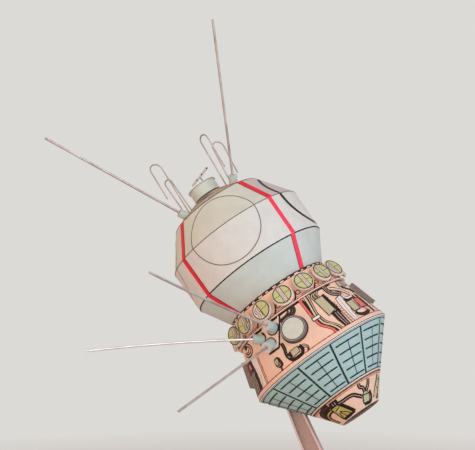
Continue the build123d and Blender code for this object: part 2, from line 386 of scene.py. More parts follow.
@dataclass
class Ink:
    """Everything printed in one colour on one sub-assembly, as a single mesh of thin slabs."""

    name: str
    finish: "InkFinish"
    slot: str
    points: list = field(default_factory=list)
    faces: list = field(default_factory=list)
    count: int = 0

    def _add(self, points: np.ndarray, *blocks: np.ndarray) -> None:
        """Keeps a block of points, and the blocks of faces that join them."""
        self.points.append(points)
        for faces in blocks:
            self.faces.extend((faces + self.count).tolist())
        self.count += len(points)

    def stroke(self, sheet: Sheet, route: Points, width: float, layer: int, smooth: bool = False,
               closed: bool = False, shift: float = 0.0, waver: float = 0.0, taper: float = 0.0) -> None:
        """Prints a line of one width along a route.

        The route's sideways direction is its own direction turned a quarter, measured in metres
        on the card. The slab is a ring of four corners carried along the route.

        Args:
            sheet: the Band or Flat that it lies on.
            route: its points in the sheet's own units.
            width: in millimetres.
            layer: which layer of ink, counted from 1.
            smooth: curve through the points of an open line, or else straight runs.
            closed: join the end to the start, by straight runs.
            shift: moves the line sideways, in millimetres.
            waver: share by which the width comes and goes, as in a drawn line.
            taper: share of the length at each end over which the width grows from nothing.
        """
        route = np.array(route, float)
        if closed:
            line = straight(np.vstack([route, route[:1]]), LOOP_STEPS)[:-1]
        else:
            line = curved(route, CURVE_STEPS) if smooth else straight(route, self._steps(sheet, route))
        metric = sheet.metric(line)
        run = np.roll(line, -1, 0) - np.roll(line, 1, 0) if closed else np.gradient(line, axis=0)
        run = run * metric
        run /= np.linalg.norm(run, axis=1, keepdims=True)
        side = np.stack([-run[:, 1], run[:, 0]], axis=1) / metric
        along = np.linspace(0, 1, len(line))
        half = 0.5 * width * (1 + waver * np.sin(along * len(line) * WAVER_RATE + self.count))
        if taper:
            half = half * np.clip(np.minimum(along, 1 - along) / taper, THINNEST, 1)
        left = line + side * ((shift + half) * MM)[:, None]
        right = line + side * ((shift - half) * MM)[:, None]
        top = INK_LIFT + layer * INK_STEP
        ring = np.stack([
            sheet.to_space(left, -INK_SUNK), sheet.to_space(left, top),
            sheet.to_space(right, top), sheet.to_space(right, -INK_SUNK),
        ], axis=1)
        self._add(ring.reshape(-1, 3), slab_faces(len(line), closed))

    def patch(self, sheet: Sheet, outline: Points, layer: int, smooth: bool = False) -> None:
        """Prints a filled shape.

        The fill is the outline drawn in towards its middle in equal steps, so every part of it
        follows the card.

        Args:
            sheet: the Band or Flat that it lies on.
            outline: its corners, in order.
            layer: which layer of ink.
            smooth: curve through the corners.
        """
        corners = np.array(outline, float)
        if smooth:
            loop = np.vstack([corners[-1:], corners, corners[:2]])
            edge = curved(loop, LOOP_STEPS)[LOOP_STEPS:-LOOP_STEPS - 1]
        else:
            edge = straight(np.vstack([corners, corners[:1]]), LOOP_STEPS)[:-1]
        middle = edge.mean(axis=0)
        share = np.linspace(1, 0, PATCH_RINGS + 1)[:-1]
        grid = middle + (edge[None] - middle) * share[:, None, None]
        top = INK_LIFT + layer * INK_STEP
        size = len(edge)
        rows = np.vstack([grid.reshape(-1, 2), middle[None]])
        half = len(rows)
        first = np.arange(size)
        after = np.roll(first, -1)
        inner = (PATCH_RINGS - 1) * size
        face = np.vstack([np.stack([first, after, after + size, first + size], 1) + start
                          for start in range(0, inner, size)])
        wall = np.stack([first, half + first, half + after, after], 1)
        fan = np.stack([inner + first, inner + after, np.full(size, half - 1)], 1)
        self._add(np.vstack([sheet.to_space(rows, top), sheet.to_space(rows, -INK_SUNK)]),
                  face, face[:, ::-1] + half, wall, fan, fan[:, ::-1] + half)

    @staticmethod
    def _steps(sheet: Sheet, route: np.ndarray) -> int:
        """Steps for straight runs, so that none is longer than LONGEST_RUN."""
        spans = np.diff(route, axis=0) * sheet.metric(route[:-1])
        return max(1, int(math.ceil(np.linalg.norm(spans, axis=1).max() / LONGEST_RUN)))

    def build(self) -> None:
        """Makes the mesh, gives it its finish and hangs it on the model."""
        make_piece(self.name, np.vstack(self.points), self.faces, self.finish.material())


def slab_faces(count: int, closed: bool) -> np.ndarray:
    """Faces of a four-cornered slab with a number of rings.

    Args:
        count: rings along the slab.
        closed: the last ring joins the first, or else both ends are capped.

    Returns:
        Four vertex numbers for each face.
    """
    rows = np.arange(count if closed else count - 1)
    corner = np.arange(4)
    here = rows[:, None] * 4 + corner
    there = ((rows[:, None] + 1) % count) * 4 + corner
    faces = np.stack([here, there, np.roll(there, -1, 1), np.roll(here, -1, 1)], axis=2).reshape(-1, 4)
    if closed:
        return faces
    caps = np.array([[0, 1, 2, 3], [4 * count - 1, 4 * count - 2, 4 * count - 3, 4 * count - 4]])
    return np.vstack([faces, caps])


def add_object(name: str, points: np.ndarray, faces: list,
               material: bpy.types.Material) -> bpy.types.Object:
    """Makes a mesh object with one material and links it to the scene.

    Args:
        name: the object's and the mesh's name.
        points: its vertices in metres.
        faces: vertex numbers for each face.
        material: its finish.

    Returns:
        The new object.
    """
    mesh = bpy.data.meshes.new(name)
    mesh.from_pydata(points.tolist(), [], faces)
    mesh.validate()
    mesh.materials.append(material)
    piece = bpy.data.objects.new(name, mesh)
    bpy.context.scene.collection.objects.link(piece)
    return piece


def make_piece(name: str, points: np.ndarray, faces: list, material: bpy.types.Material) -> None:
    """Makes a piece that rides on the model."""
    piece = add_object(name, points, faces, material)
    outward(piece.data)
    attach(piece, "root")
    LOG.info("%s: %d faces", name, len(piece.data.polygons))


def outward(mesh: bpy.types.Mesh) -> None:
    """Turns every closed island of a mesh so that its faces point outwards."""
    work = bmesh.new()
    work.from_mesh(mesh)
    bmesh.ops.recalc_face_normals(work, faces=work.faces[:])
    work.to_mesh(mesh)
    work.free()


# ---------- finishes ----------

@dataclass(frozen=True)
class Finish(ABC):
    """A real material and how it was worked. Pieces with the same name share one shader."""

    name: str
    tone: str

    def material(self) -> bpy.types.Material:
        """Builds the material the first time, and finds it again after that."""
        known = bpy.data.materials.get(self.name)
        if known:
            return known
        material, tree, output, place = new_material(self.name)
        tree.links.new(self.shader(tree, place).outputs[0], output.inputs["Surface"])
        return material

    @abstractmethod
    def shader(self, tree: Tree, place: Socket) -> bpy.types.Node:
        """The shader node, from the tree and the socket of object coordinates."""


@dataclass(frozen=True)
class CardFinish(Finish):
    """Coated card, offset printed, cut and folded.

    Matt, with a faint fibre tooth, ink that lies a little unevenly, and the pale core of the
    card showing in a ragged line along folds and cut edges. Heights are in mm along the Z of
    local; the tone above split is a second printed tone.
    """

    above: str = ""
    split: float = 0.0
    creases: tuple = ()
    local: Matrix = None
    core: str = "e9e2d8"
    core_width: float = 0.9
    roughness: float = 0.6
    mottle_mm: float = 7.0
    stain: float = 0.08

    def shader(self, tree: Tree, place: Socket) -> bpy.types.Node:
        """Clouded ink over a fine tooth, worn to the core at creases."""
        height = self._height(tree, place) if self.local else None
        # Uneven ink: cloudy patches a few millimetres wide, and a finer grain from the fibres.
        cloud = noise_of(tree, place, self.mottle_mm, 3.0)
        grain = noise_of(tree, place, 0.8, 2.0)
        both = arithmetic(tree, "MULTIPLY_ADD", grain, 0.5, cloud)
        level = remap(tree, both, (0.45, 1.05), (1.0 - self.stain, 1.05))
        tinted = add_node(tree, "ShaderNodeMix",
                          {"data_type": "RGBA", "blend_type": "MULTIPLY", 0: 1.0, 6: linear(self.tone)},
                          {7: level})
        if self.above:
            over = arithmetic(tree, "GREATER_THAN", height, self.split * MM)
            tree.links.new(blend(tree, over, self.tone, self.above), tinted.inputs[6])
        colour = tinted.outputs[2]
        if self.creases:
            colour = self._worn(tree, place, height, colour)
        # The tooth of the coated surface, about a quarter of a millimetre.
        bump = add_node(tree, "ShaderNodeBump", {"Strength": 0.10, "Distance": 0.03 * MM},
                        {"Height": noise_of(tree, place, 0.26, 1.0)})
        shine = remap(tree, cloud, (0.0, 1.0), (self.roughness - 0.06, self.roughness + 0.08))
        return add_node(tree, "ShaderNodeBsdfPrincipled", {"IOR": 1.48},
                        {"Base Color": colour, "Roughness": shine, "Normal": bump.outputs["Normal"]})

    def _height(self, tree: Tree, place: Socket) -> Socket:
        """Height in metres along the local Z."""
        settings = {"vector_type": "TEXTURE", "Location": self.local.to_translation(),
                    "Rotation": self.local.to_euler()}
        local = add_node(tree, "ShaderNodeMapping", settings, {"Vector": place})
        return add_node(tree, "ShaderNodeSeparateXYZ", {}, {"Vector": local.outputs[0]}).outputs["Z"]

    def _worn(self, tree: Tree, place: Socket, height: Socket, colour: Socket) -> Socket:
        """The card's core where a crease or cut edge is near, in a ragged line."""
        nearest = None
        for crease in self.creases:
            away = arithmetic(tree, "ABSOLUTE", arithmetic(tree, "SUBTRACT", height, crease * MM), 0.0)
            nearest = arithmetic(tree, "MINIMUM", away, nearest) if nearest else away
        close = remap(tree, nearest, (0.0, self.core_width * MM), (1.0, 0.0))
        edge = arithmetic(tree, "MULTIPLY_ADD", noise_of(tree, place, 1.3, 3.0), -0.9, close)
        mask = remap(tree, edge, (0.30, 0.50), (0.0, 0.85))
        return add_node(tree, "ShaderNodeMix", {"data_type": "RGBA", 7: linear(self.core)},
                        {0: mask, 6: colour}).outputs[2]


@dataclass(frozen=True)
class InkFinish(Finish):
    """Offset printing ink on card: flat colour, a little glossier than the card, thin in specks."""

    worn: str
    roughness: float = 0.5

    def shader(self, tree: Tree, place: Socket) -> bpy.types.Node:
        """Flat ink with specks where it has rubbed thin and the card lightens it."""
        thin = remap(tree, noise_of(tree, place, 0.8, 4.0), (0.42, 0.74))
        return add_node(tree, "ShaderNodeBsdfPrincipled",
                        {"IOR": 1.45, "Specular IOR Level": 0.3, "Roughness": self.roughness},
                        {"Base Color": blend(tree, thin, self.tone, self.worn)})


@dataclass(frozen=True)
class WireFinish(Finish):
    """Drawn steel wire: a soft bright line, and a darker warm tone in patches that is painted shade; the
    pink tint is a painted warm reflection.
    """

    shaded_tone: str
    roughness: float = 0.5

    def shader(self, tree: Tree, place: Socket) -> bpy.types.Node:
        """Metal with painted shade in centimetre lengths, and a polish that changes along the wire."""
        # Painted shade: the darker warm tone in patches along the wire.
        shaded_tone = remap(tree, noise_of(tree, place, 11.0, 2.0), (0.36, 0.7))
        shine = remap(tree, noise_of(tree, place, 2.4, 2.0), (0.0, 1.0),
                      (self.roughness - 0.05, self.roughness + 0.08))
        return add_node(tree, "ShaderNodeBsdfPrincipled", {"Metallic": 1.0},
                        {"Base Color": blend(tree, shaded_tone, self.tone, self.shaded_tone), "Roughness": shine})


@dataclass(frozen=True)
class PlasticFinish(Finish):
    """Extruded plastic tube, cut into sleeves: smooth, with a low even gloss and faint soiling."""

    soil: str
    roughness: float = 0.38

    def shader(self, tree: Tree, place: Socket) -> bpy.types.Node:
        """Smooth plastic, soiled in millimetre patches."""
        patch = noise_of(tree, place, 1.6, 3.0)
        return add_node(tree, "ShaderNodeBsdfPrincipled", {"IOR": 1.49, "Roughness": self.roughness},
                        {"Base Color": blend(tree, patch, self.tone, self.soil)})


def dress(finish: Finish, *names: str) -> None:
    """Gives CAD nodes their finish."""
    for name in names:
        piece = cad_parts[name]
        if not piece.data.materials:
            piece.data.materials.append(finish.material())
        for slot in piece.material_slots:
            slot.material = finish.material()


def dress_cone(axis: CraftAxis, node: str, name: str, tone: str, **looks) -> None:
    """Gives a cone a card finish that is worn at both its folds; looks are CardFinish's other fields."""
    dress(CardFinish(name, tone, creases=cone_of(axis, node).ends, local=axis.matrix(), **looks), node)


class Tone(Enum):
    """Printed colours, as ink tone and where it has worn thin."""

    DARK = ("1e0e0b", "341c15")
    BROWN = ("4c2319", "6b3c2d")
    LINE = ("62594a", "837965")
    RED = ("ee2032", "f6384c")
    # A rosier copy of the red ink: painted light.
    RED_PAINTED_LIGHT = ("ff3c54", "ff5068")
    DEEP_RED = ("86181a", "a0302c")
    PIPE_RED = ("ec6a60", "f38579")
    RUST = ("9c3c2c", "b85c48")
    PEACH = ("fbcfb2", "fcdcc6")
    PALE = ("f3e4d6", "f7ece2")
    LILAC = ("ddd0d0", "e8dddb")
    STRAP = ("e5d5c3", "ede0d1")
    KHAKI = ("c6b893", "d2c6a6")
    SAND = ("e2cba2", "ead8b8")
    TANK = ("cac785", "d6d39c")
    OLIVE = ("bfa550", "d2b964")
    STEEL = ("b0a4a0", "c4bab6")
    BAR = ("0e2826", "1f3a37")
    GREEN = ("bcbf8e", "cacca2")

    def finish(self) -> InkFinish:
        """The ink in this colour."""
        tone, worn = self.value
        return InkFinish(f"offset_ink_{self.name.lower()}", tone, worn)


# ---------- sub-assemblies ----------

@dataclass
class PrintSet:
    """The inks of one sub-assembly, each made when it is first used."""

    prefix: str
    slot: str
    inks: dict = field(default_factory=dict)

    def __call__(self, tone: Tone) -> Ink:
        """The ink of that colour."""
        if tone not in self.inks:
            self.inks[tone] = Ink(f"{self.prefix}_print_{tone.name.lower()}", tone.finish(), self.slot)
        return self.inks[tone]

    def build(self) -> None:
        """Makes one piece for each colour."""
        for ink in self.inks.values():
            ink.build()


@dataclass
class Drawing:
    """Marks printed on one sheet, turned about the craft by some degrees.

    Attributes:
        prints: the inks to print with.
        sheet: the Band or Flat that the marks lie on.
        turn: degrees by which every mark is moved round.
        waver: share by which a pipe's outline comes and goes.
    """

    prints: PrintSet
    sheet: Sheet
    turn: float = 0.0
    waver: float = 0.08

    def _moved(self, route: Points) -> np.ndarray:
        """The route, turned."""
        return np.array(route, float) + [self.turn, 0.0]

    def line(self, tone: Tone, route: Points, width: float, layer: int, **style) -> None:
        """A line through points; style goes on to Ink.stroke."""
        self.prints(tone).stroke(self.sheet, self._moved(route), width, layer, **style)

    def curve(self, tone: Tone, route: Points, width: float, layer: int, **style) -> None:
        """A line that curves through its points."""
        self.line(tone, route, width, layer, smooth=True, **style)

    def patch(self, tone: Tone, corners: Points, layer: int, smooth: bool = False) -> None:
        """A filled shape."""
        self.prints(tone).patch(self.sheet, self._moved(corners), layer, smooth=smooth)

    def pipe(self, tone: Tone, route: Points, width: float, core: float, layer: int = 2) -> None:
        """A dark outline, and in it a core of its own colour that takes a share of the width."""
        self.curve(Tone.DARK, route, width, layer, waver=self.waver)
        self.curve(tone, route, width * core, layer + 1)

    def box(self, tone: Tone, corners: Points, edge: float, layer: int) -> None:
        """A filled shape with a dark outline."""
        self.patch(tone, corners, layer)
        self.line(Tone.DARK, corners, edge, layer + 1, closed=True)


def around(height: float, start: float = 0.0, stop: float = 360.0) -> np.ndarray:
    """Points round the craft at one height, from one azimuth to another."""
    count = max(2, int(math.ceil(abs(stop - start) / AROUND_STEP)) + 1)
    azimuth = np.linspace(start, stop, count)
    return np.stack([azimuth, np.full(count, height)], axis=1)


def disc_outline(radius: float, count: int = 48) -> np.ndarray:
    """Points of a circle about the middle of a flat face."""
    turn = np.linspace(0, 2 * math.pi, count + 1)[:-1]
    return radius * np.stack([np.cos(turn), np.sin(turn)], axis=1)


def flat_top(points: np.ndarray, band: Band, azimuth: float, height: float) -> Flat:
    """Flat top of a piece that stands square on a cone.

    Args:
        points: the piece's vertices.
        band: the cone.
        azimuth: of its middle, in degrees.
        height: of its middle, in mm.

    Returns:
        The top face: its up is towards the nose, and its right towards greater azimuth.
    """
    spot = np.array([[azimuth, height]])
    foot = band.to_space(spot, 0.0)[0]
    normal = (band.to_space(spot, MM)[0] - foot) / MM
    right = band.axis.place(azimuth + 90.0, 1.0, 0.0) - band.axis.origin
    top = ((points - foot) @ normal).max()
    return Flat.facing(foot + top * normal, normal, right)


def disc_top(name: str, band: Band, azimuth: float, height: float) -> Flat:
    """Flat top of a disc that may sit turned on its stub.

    The faces near the disc's middle that look away from the band give its normal, and the mean
    of the vertices in their plane gives its centre.

    Args:
        name: the node that holds the discs.
        band: the cone they stand on.
        azimuth: of the disc's middle, in degrees.
        height: of its middle, in mm.

    Returns:
        The top face: its up is towards the nose.
    """
    near, aside_limit, rise_limit = 6 * MM, 3.5 * MM, 2.6 * MM
    facing_limit, rim_reach, rim_slack = 0.8, 7 * MM, 0.02 * MM
    points, polygons = node_points(name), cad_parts[name].data.polygons
    centres, normals = rows_of(polygons, "center"), rows_of(polygons, "normal")
    foot = band.to_space(np.array([[azimuth, height]]), 0.0)[0]
    reach = np.linalg.norm(points - foot, axis=1)
    square = flat_top(points[reach < near], band, azimuth, height)
    away = np.cross(square.right, square.up)
    rise = (centres - foot) @ away
    aside = np.linalg.norm(centres - foot - rise[:, None] * away, axis=1)
    top = (aside < aside_limit) & (rise > rise_limit) & (normals @ away > facing_limit)
    normal = unit(normals[top].mean(axis=0))
    level = (centres[top] @ normal).max()
    rim = (reach < rim_reach) & (np.abs(points @ normal - level) < rim_slack)
    return Flat.facing(points[rim].mean(axis=0), normal, unit(np.cross(square.up, normal)))


def socket_end(rod: str, socket: str) -> Flat:
    """End face of a socket, square to the straight end of its rod.

    The first ring of the rod's points and the next one give the rod's direction.

    Args:
        rod: the rod's node.
        socket: the socket's node.

    Returns:
        The end face, its middle on the rod.
    """
    ring_slack, next_ring = 0.4 * MM, 1.5 * MM
    points, base = node_points(rod), node_points(socket)
    near = points[np.linalg.norm(points - base.mean(axis=0), axis=1).argmin()]
    far = points[np.linalg.norm(points - near, axis=1).argmax()]
    run = (points - near) @ unit(far - near)
    foot = points[run < run.min() + ring_slack].mean(axis=0)
    level = run[run > run.min() + next_ring].min()
    aim = unit(points[np.abs(run - level) < ring_slack].mean(axis=0) - foot)
    top = ((base - foot) @ aim).max()
    return Flat.facing(foot + top * aim, aim, unit(np.cross([0.0, 0.0, 1.0], aim)))


@dataclass
class Sphere:
    """Return sphere: crown, four folded gores and skirt, with seams, folds and hatch rings."""

    axis: CraftAxis
    seams: tuple = (-49.0, 41.0, 131.0, 221.0)
    # Which edge of each seam leg gets a painted shadow, for even and odd seams; 0 for none.
    shadow_sides: tuple = (
        {"crown": -1, "upper": -1, "lower": -1, "skirt": -1},
        {"crown": 1, "upper": 1, "lower": 0, "skirt": 1},
    )
    stripes: dict = field(default_factory=lambda: {
        "crown": (2.8, 0.3), "upper": (3.0, 0.5), "lower": (2.5, -0.1), "skirt": (2.5, -0.6),
    })
    # Width of the painted shadow along a stripe's edge.
    stripe_shadow_width: float = 0.4
    stripe_gap: float = 0.02
    # Legs of a seam printed in the rosier red: painted light on the same red ink.
    painted_light_legs: tuple = ((41.0, "lower"), (41.0, "skirt"))
    hatches: tuple = ((-4.4, 19.3, 0.45, Tone.LINE), (83.6, 19.1, 1.9, Tone.DARK),
                      (175.6, 19.3, 0.45, Tone.LINE), (-96.6, 19.4, 0.45, Tone.LINE))

    def bands(self) -> dict:
        """The sphere's four cones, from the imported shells."""
        low, middle, high = outer_folds(self.axis, "sphere_gore_front")
        return {
            "crown": cone_of(self.axis, "crown"),
            "upper": Band(self.axis, middle, high),
            "lower": Band(self.axis, low, middle),
            "skirt": cone_of(self.axis, "skirt"),
        }

    def dress(self) -> None:
        """Gives the card shells their printed tones."""
        bands = self.bands()
        fold, crown_fold = bands["upper"].ends
        local, worn = self.axis.matrix(), (bands["skirt"].top, fold, crown_fold)
        # Two-tone print: warm stone under the fold, cooler ivory above it, pale worn folds.
        gore = CardFinish("matt_card_stone_over_ivory", "e1ddd3", "dfe3d3", fold, worn, local)
        dress(gore, *(f"sphere_gore_{side}" for side in ("front", "back", "left")))
        # The right gore is the same card; its rosier, darker tone above the fold is painted light.
        rose = CardFinish("matt_card_ivory_with_painted_light", "e1ddd3", "d5cac6", fold, worn, local)
        dress(rose, "sphere_gore_right")
        # A darker olive stone, so the crown reads as a separate piece of card.
        dress(CardFinish("matt_card_olive_stone", "ccc5ae", creases=(crown_fold,), local=local), "crown")
        # A cool sage that sets the skirt off from the gores.
        dress_cone(self.axis, "skirt", "matt_card_sage", "d2d5c9")

    def build(self) -> None:
        """Prints seams, fold lines, hatch rings and the marks on the crown."""
        bands = self.bands()
        prints = PrintSet("sphere", "sphere_card")
        for index, seam in enumerate(self.seams):
            self._seam(prints, bands, seam, self.shadow_sides[index % 2])
        self._folds(prints, bands)
        for hatch in self.hatches:
            self._hatch(prints, bands, *hatch)
        self._crown(Drawing(prints, bands["crown"]))
        prints.build()

    def _seam(self, prints: PrintSet, bands: dict, azimuth: float, sides: dict) -> None:
        """A red stripe from the crown to the tank band, with a painted shadow along the edge of the raised
        stripe on the side that sides gives.
        """
        for name, (width, aside) in self.stripes.items():
            draw = Drawing(prints, bands[name])
            # Painted light: the listed legs take the rosier copy of the red.
            red = Tone.RED_PAINTED_LIGHT if (azimuth, name) in self.painted_light_legs else Tone.RED
            low, high = bands[name].ends
            route = [(azimuth, low + self.stripe_gap), (azimuth, high - self.stripe_gap)]
            draw.line(red, route, width, 3, shift=-aside)
            # Painted shadow: a deep red line along one edge of the stripe, for the shade that the raised
            # strip casts.
            if sides[name]:
                edge = sides[name] * (width + self.stripe_shadow_width) / 2
                draw.line(Tone.DEEP_RED, route, self.stripe_shadow_width, 2, shift=edge - aside, waver=0.06)

    def _folds(self, prints: PrintSet, bands: dict) -> None:
        """Lines drawn along the folds: fine above; heavier at the skirt, where the joint carries painted
        shade.
        """
        crown_fold, fold, skirt_fold = bands["upper"].top, bands["upper"].bottom, bands["skirt"].top
        for name, tone, height, width, layer, waver in (
            ("crown", Tone.BROWN, crown_fold + 0.25, 0.8, 2, 0.08),
            ("upper", Tone.LINE, crown_fold - 0.3, 0.4, 1, 0.06),
            ("lower", Tone.LINE, fold - 0.2, 0.42, 1, 0.06),
            # Skirt: the dark joint of two pieces of card, widened with painted shade from the step.
            ("skirt", Tone.DARK, skirt_fold - 0.3, 0.65, 1, 0.1),
        ):
            prints(tone).stroke(bands[name], around(height), width, layer, waver=waver)

    def _hatch(self, prints: PrintSet, bands: dict, centre: float, radius: float, width: float,
               tone: Tone) -> None:
        """Hatch ring: one circle on the flat card, folded over two cones."""
        fold = bands["upper"].bottom
        for name, way in (("upper", 1.0), ("lower", -1.0)):
            arc = bands[name].circle(centre, fold, radius, 0.0, 180.0 * way, 181)
            arc = arc[(arc[:, 1] - fold) * way >= 0.0]
            prints(tone).stroke(bands[name], arc, width, 1)

    def _crown(self, draw: Drawing) -> None:
        """A dark crescent in the middle of each quarter, and a ring at the cap's foot."""
        for turn in range(4):
            centre = self.seams[0] + 45.0 + 90.0 * turn
            over = around(72.6, centre - 26, centre + 18)
            under = over[::-1].copy()
            swell = np.sin(np.linspace(0, math.pi, len(over)))
            over[:, 1] += 0.6 * swell
            under[:, 1] -= 0.9 * swell
            draw.patch(Tone.DARK, np.vstack([over, under[1:-1]]), 2)
            draw.line(Tone.BROWN, around(70.9, centre - 42, centre + 40), 0.7, 2, taper=0.1)
        draw.line(Tone.DARK, around(74.5), 1.6, 3, waver=0.15)


@dataclass
class Nose:
    """Cap, aerial, rods and hooks on the crown."""

    axis: CraftAxis
    dash_count: int = 44
    dash_share: float = 0.55

    def dress(self) -> None:
        """Card cap and sockets, steel rods and hooks, plastic sleeves."""
        # Pale mint card, nearly white where the light strikes it.
        dress(CardFinish("matt_card_pale_mint", "dde6d5", mottle_mm=4.0), "cap_drum", "cap_lid")
        # Rolled card with handled, blotchy ink.
        dress(CardFinish("matt_card_soft_mint", "c8dccb", mottle_mm=3.0, stain=0.14),
              "crown_socket_left", "crown_socket_right")
        # Straight wire with a soft bright line, and a duller one for the thin bent wire.
        dress(WireFinish("drawn_steel_rod", "d6c8bf", "b09b90"), "crown_rod_left", "crown_rod_right")
        hooks = (f"wire_hook_{side}_{height}" for side in ("left", "right") for height in ("tall", "short"))
        dress(WireFinish("drawn_steel_thin_wire", "c9bab1", "a29086", 0.55), "aerial_mast", *hooks)
        # A dark bar that shows as short gaps between the sleeves: painted shade, for the shade that falls
        # in those gaps.
        dress(WireFinish("steel_bar_dark_painted_shade", "6b5f56", "473d36", 0.5), "aerial_crossbar")
        # Cut tube, the whitest and smoothest thing on the model.
        dress(PlasticFinish("extruded_plastic_sleeve", "f6f4f1", "dfd8d2"), "aerial_sleeves")

    def build(self) -> None:
        """Dashes under the lid, a line at the cap's foot, and the ends of the sockets."""
        prints = PrintSet("cap", "mint_card")
        drum, lid = self._wall("cap_drum"), self._wall("cap_lid")
        pitch = 360.0 / self.dash_count
        for index in range(self.dash_count):
            route = around((lid.bottom + lid.top) / 2, index * pitch, (index + self.dash_share) * pitch)
            prints(Tone.BROWN).stroke(lid, route, 0.3, 1)
        prints(Tone.BROWN).stroke(drum, around(drum.bottom + 0.3), 0.45, 1, waver=0.2)
        for name in ("left", "right"):
            end = socket_end(f"crown_rod_{name}", f"crown_socket_{name}")
            prints(Tone.LILAC).stroke(end, disc_outline(1.35), 1.25, 1, closed=True)
        prints.build()

    def _wall(self, name: str) -> Band:
        """Upright wall of a round card piece; the hair of slope keeps its direction defined."""
        folds = outer_folds(self.axis, name)
        return Band(self.axis, folds[0], (folds[-1][0], folds[-1][1] + 1e-6))


@dataclass
class TankBand:
    """Band of round tank ends between the sphere and the module."""

    axis: CraftAxis
    count: int = 16
    first: float = 3.3
    height: float = 5.4
    field_radius: float = 4.35
    ring_width: float = 0.44
    strap_width: float = 1.7
    half_covered: tuple = (3, 15)
    wide_strapped: tuple = (13, 14)
    wide_strap: tuple = (2.9, 1.2)
    links: int = 40
    leans: tuple = (1, 0, 5, 3, -4, 5, -2, 8, -7, 4, 0, -5, 6, -8, -4, 9)

    def dress(self) -> None:
        """Peach card band and ridge, pale discs."""
        # Warm peach print, pale where it folds at both edges.
        dress_cone(self.axis, "tank_band", "matt_card_peach_band", "fccfb2")
        # A shade lighter, so the lip catches the eye as an edge.
        dress(CardFinish("matt_card_peach_lip", "fdd6bd", mottle_mm=4.0), "neck_ridge")
        # Bare cut edges of stacked card, pale and a little soiled.
        dress(CardFinish("cut_grey_white_card", "f0dccb", mottle_mm=2.5, stain=0.2), "tank_discs")

    def build(self) -> None:
        """Prints the discs, the broken line at the top, and the curls between discs."""
        band = cone_of(self.axis, "tank_band")
        prints = PrintSet("disc", "disc_card")
        lines = PrintSet("tank", "peach_card")
        drawing = Drawing(lines, band)
        self._edges(drawing)
        for index, lean in enumerate(self.leans):
            azimuth = self.first + index * 360.0 / self.count
            face = disc_top("tank_discs", band, azimuth, self.height)
            turn = math.radians(lean)
            right = math.cos(turn) * face.right + math.sin(turn) * face.up
            up = math.cos(turn) * face.up - math.sin(turn) * face.right
            self._disc(Drawing(prints, Flat(face.centre, right, up)), index)
            self._foot(drawing, azimuth)
        prints.build()
        lines.build()

    def _disc(self, draw: Drawing, index: int) -> None:
        """One tank end: green field, dark ring, pale hatched strap and cross lines."""
        radius = self.field_radius
        draw.patch(Tone.TANK, disc_outline(radius, 24), 1)
        draw.line(Tone.DARK, disc_outline(radius + 0.12), self.ring_width, 7, closed=True)
        draw.line(Tone.DARK, [(-radius, 0.3), (radius, -0.2)], 0.22, 2)
        if index in self.half_covered:
            self._half_strap(draw, radius)
            return
        wide = index in self.wide_strapped
        strap, offset = self.wide_strap if wide else (self.strap_width, 0.5 * math.sin(1.9 * index))
        reach = math.sqrt(radius ** 2 - offset ** 2)
        for tone, over, width, layer in ((Tone.BROWN, 0.1, strap + 0.7, 4), (Tone.STRAP, 0.3, strap, 5)):
            draw.line(tone, [(offset, -reach - over), (offset, reach + over)], width, layer)
        for aside in (offset - 0.35, offset + 0.3):
            draw.line(Tone.LINE, [(aside, -reach), (aside, reach)], 0.16, 6, waver=0.15)
        for aside in (-0.7, 0.4, 1.0) if wide else ():
            self._wave(draw, offset + aside, reach, (0.0, -0.4, 0.3, 0.0))

    def _half_strap(self, draw: Drawing, radius: float) -> None:
        """A cover over one half of a tank end, marked with fine curls."""
        arc = np.radians(np.linspace(94, 266, 19))
        draw.patch(Tone.STRAP, radius * np.stack([np.cos(arc), np.sin(arc)], axis=1), 5)
        draw.line(Tone.BROWN, [(-0.3, -radius), (-0.3, radius)], 0.4, 6)
        for aside in (-3.2, -2.2, -1.1):
            self._wave(draw, aside, 0.8 * math.sqrt(radius ** 2 - aside ** 2), (0.0, 0.5, -0.2, 0.5))

    @staticmethod
    def _wave(draw: Drawing, aside: float, reach: float, bends: tuple) -> None:
        """A fine wavy line up a tank end; bends move its four points sideways, in mm."""
        route = [(aside + bend, share * reach) for bend, share in zip(bends, (-1.0, -0.4, 0.3, 1.0))]
        draw.curve(Tone.LINE, route, 0.35, 6)

    def _edges(self, draw: Drawing) -> None:
        """Chain of dark and cream links under the sphere, and a line above the ridge.

        A link's length comes and goes as a sine of its number, and the notches stand half way
        between one link's end and the next link's start.
        """
        top, pitch = draw.sheet.top, 360.0 / self.links
        draw.line(Tone.DARK, around(top - 0.8), 1.55, 1, waver=0.1)
        for index in range(self.links):
            start = index * pitch
            length = 4.0 + 0.9 * math.sin(2.7 * index)
            link = Tone.PALE if index % 4 == 1 else Tone.PEACH
            draw.line(link, around(top - 1.0, start, start + length), 0.65, 3)
            middle = start + (length + pitch) / 2
            for height, reach in ((top - 1.75, 1.3), (top - 0.55, 0.8)):
                notch = around(height, middle - reach, middle + reach)
                draw.line(Tone.PEACH, notch, 0.6, 3, taper=0.5)
        draw.line(Tone.RUST, around(1.5), 0.3, 1, waver=0.3)
        draw.line(Tone.BROWN, around(0.7), 0.4, 1, waver=0.15)

    def _foot(self, draw: Drawing, azimuth: float) -> None:
        """Dark arc at a disc's lower edge, and a curled pipe beside it."""
        shade = draw.sheet.circle(azimuth, self.height, 6.0, -70.0, 10.0, 15)
        draw.line(Tone.DARK, shade, 0.8, 2, taper=0.3)
        curl = draw.sheet.circle(azimuth + 14.0, 3.4, 1.05, 265.0, -70.0, 19)
        draw.line(Tone.DEEP_RED, curl, 0.4, 2)
        tail = [(azimuth + 8.6, 2.2), (azimuth + 11.4, 2.6), (azimuth + 13.4, 2.3), (azimuth + 16.4, 2.6)]
        draw.curve(Tone.DEEP_RED, tail, 0.42, 2)


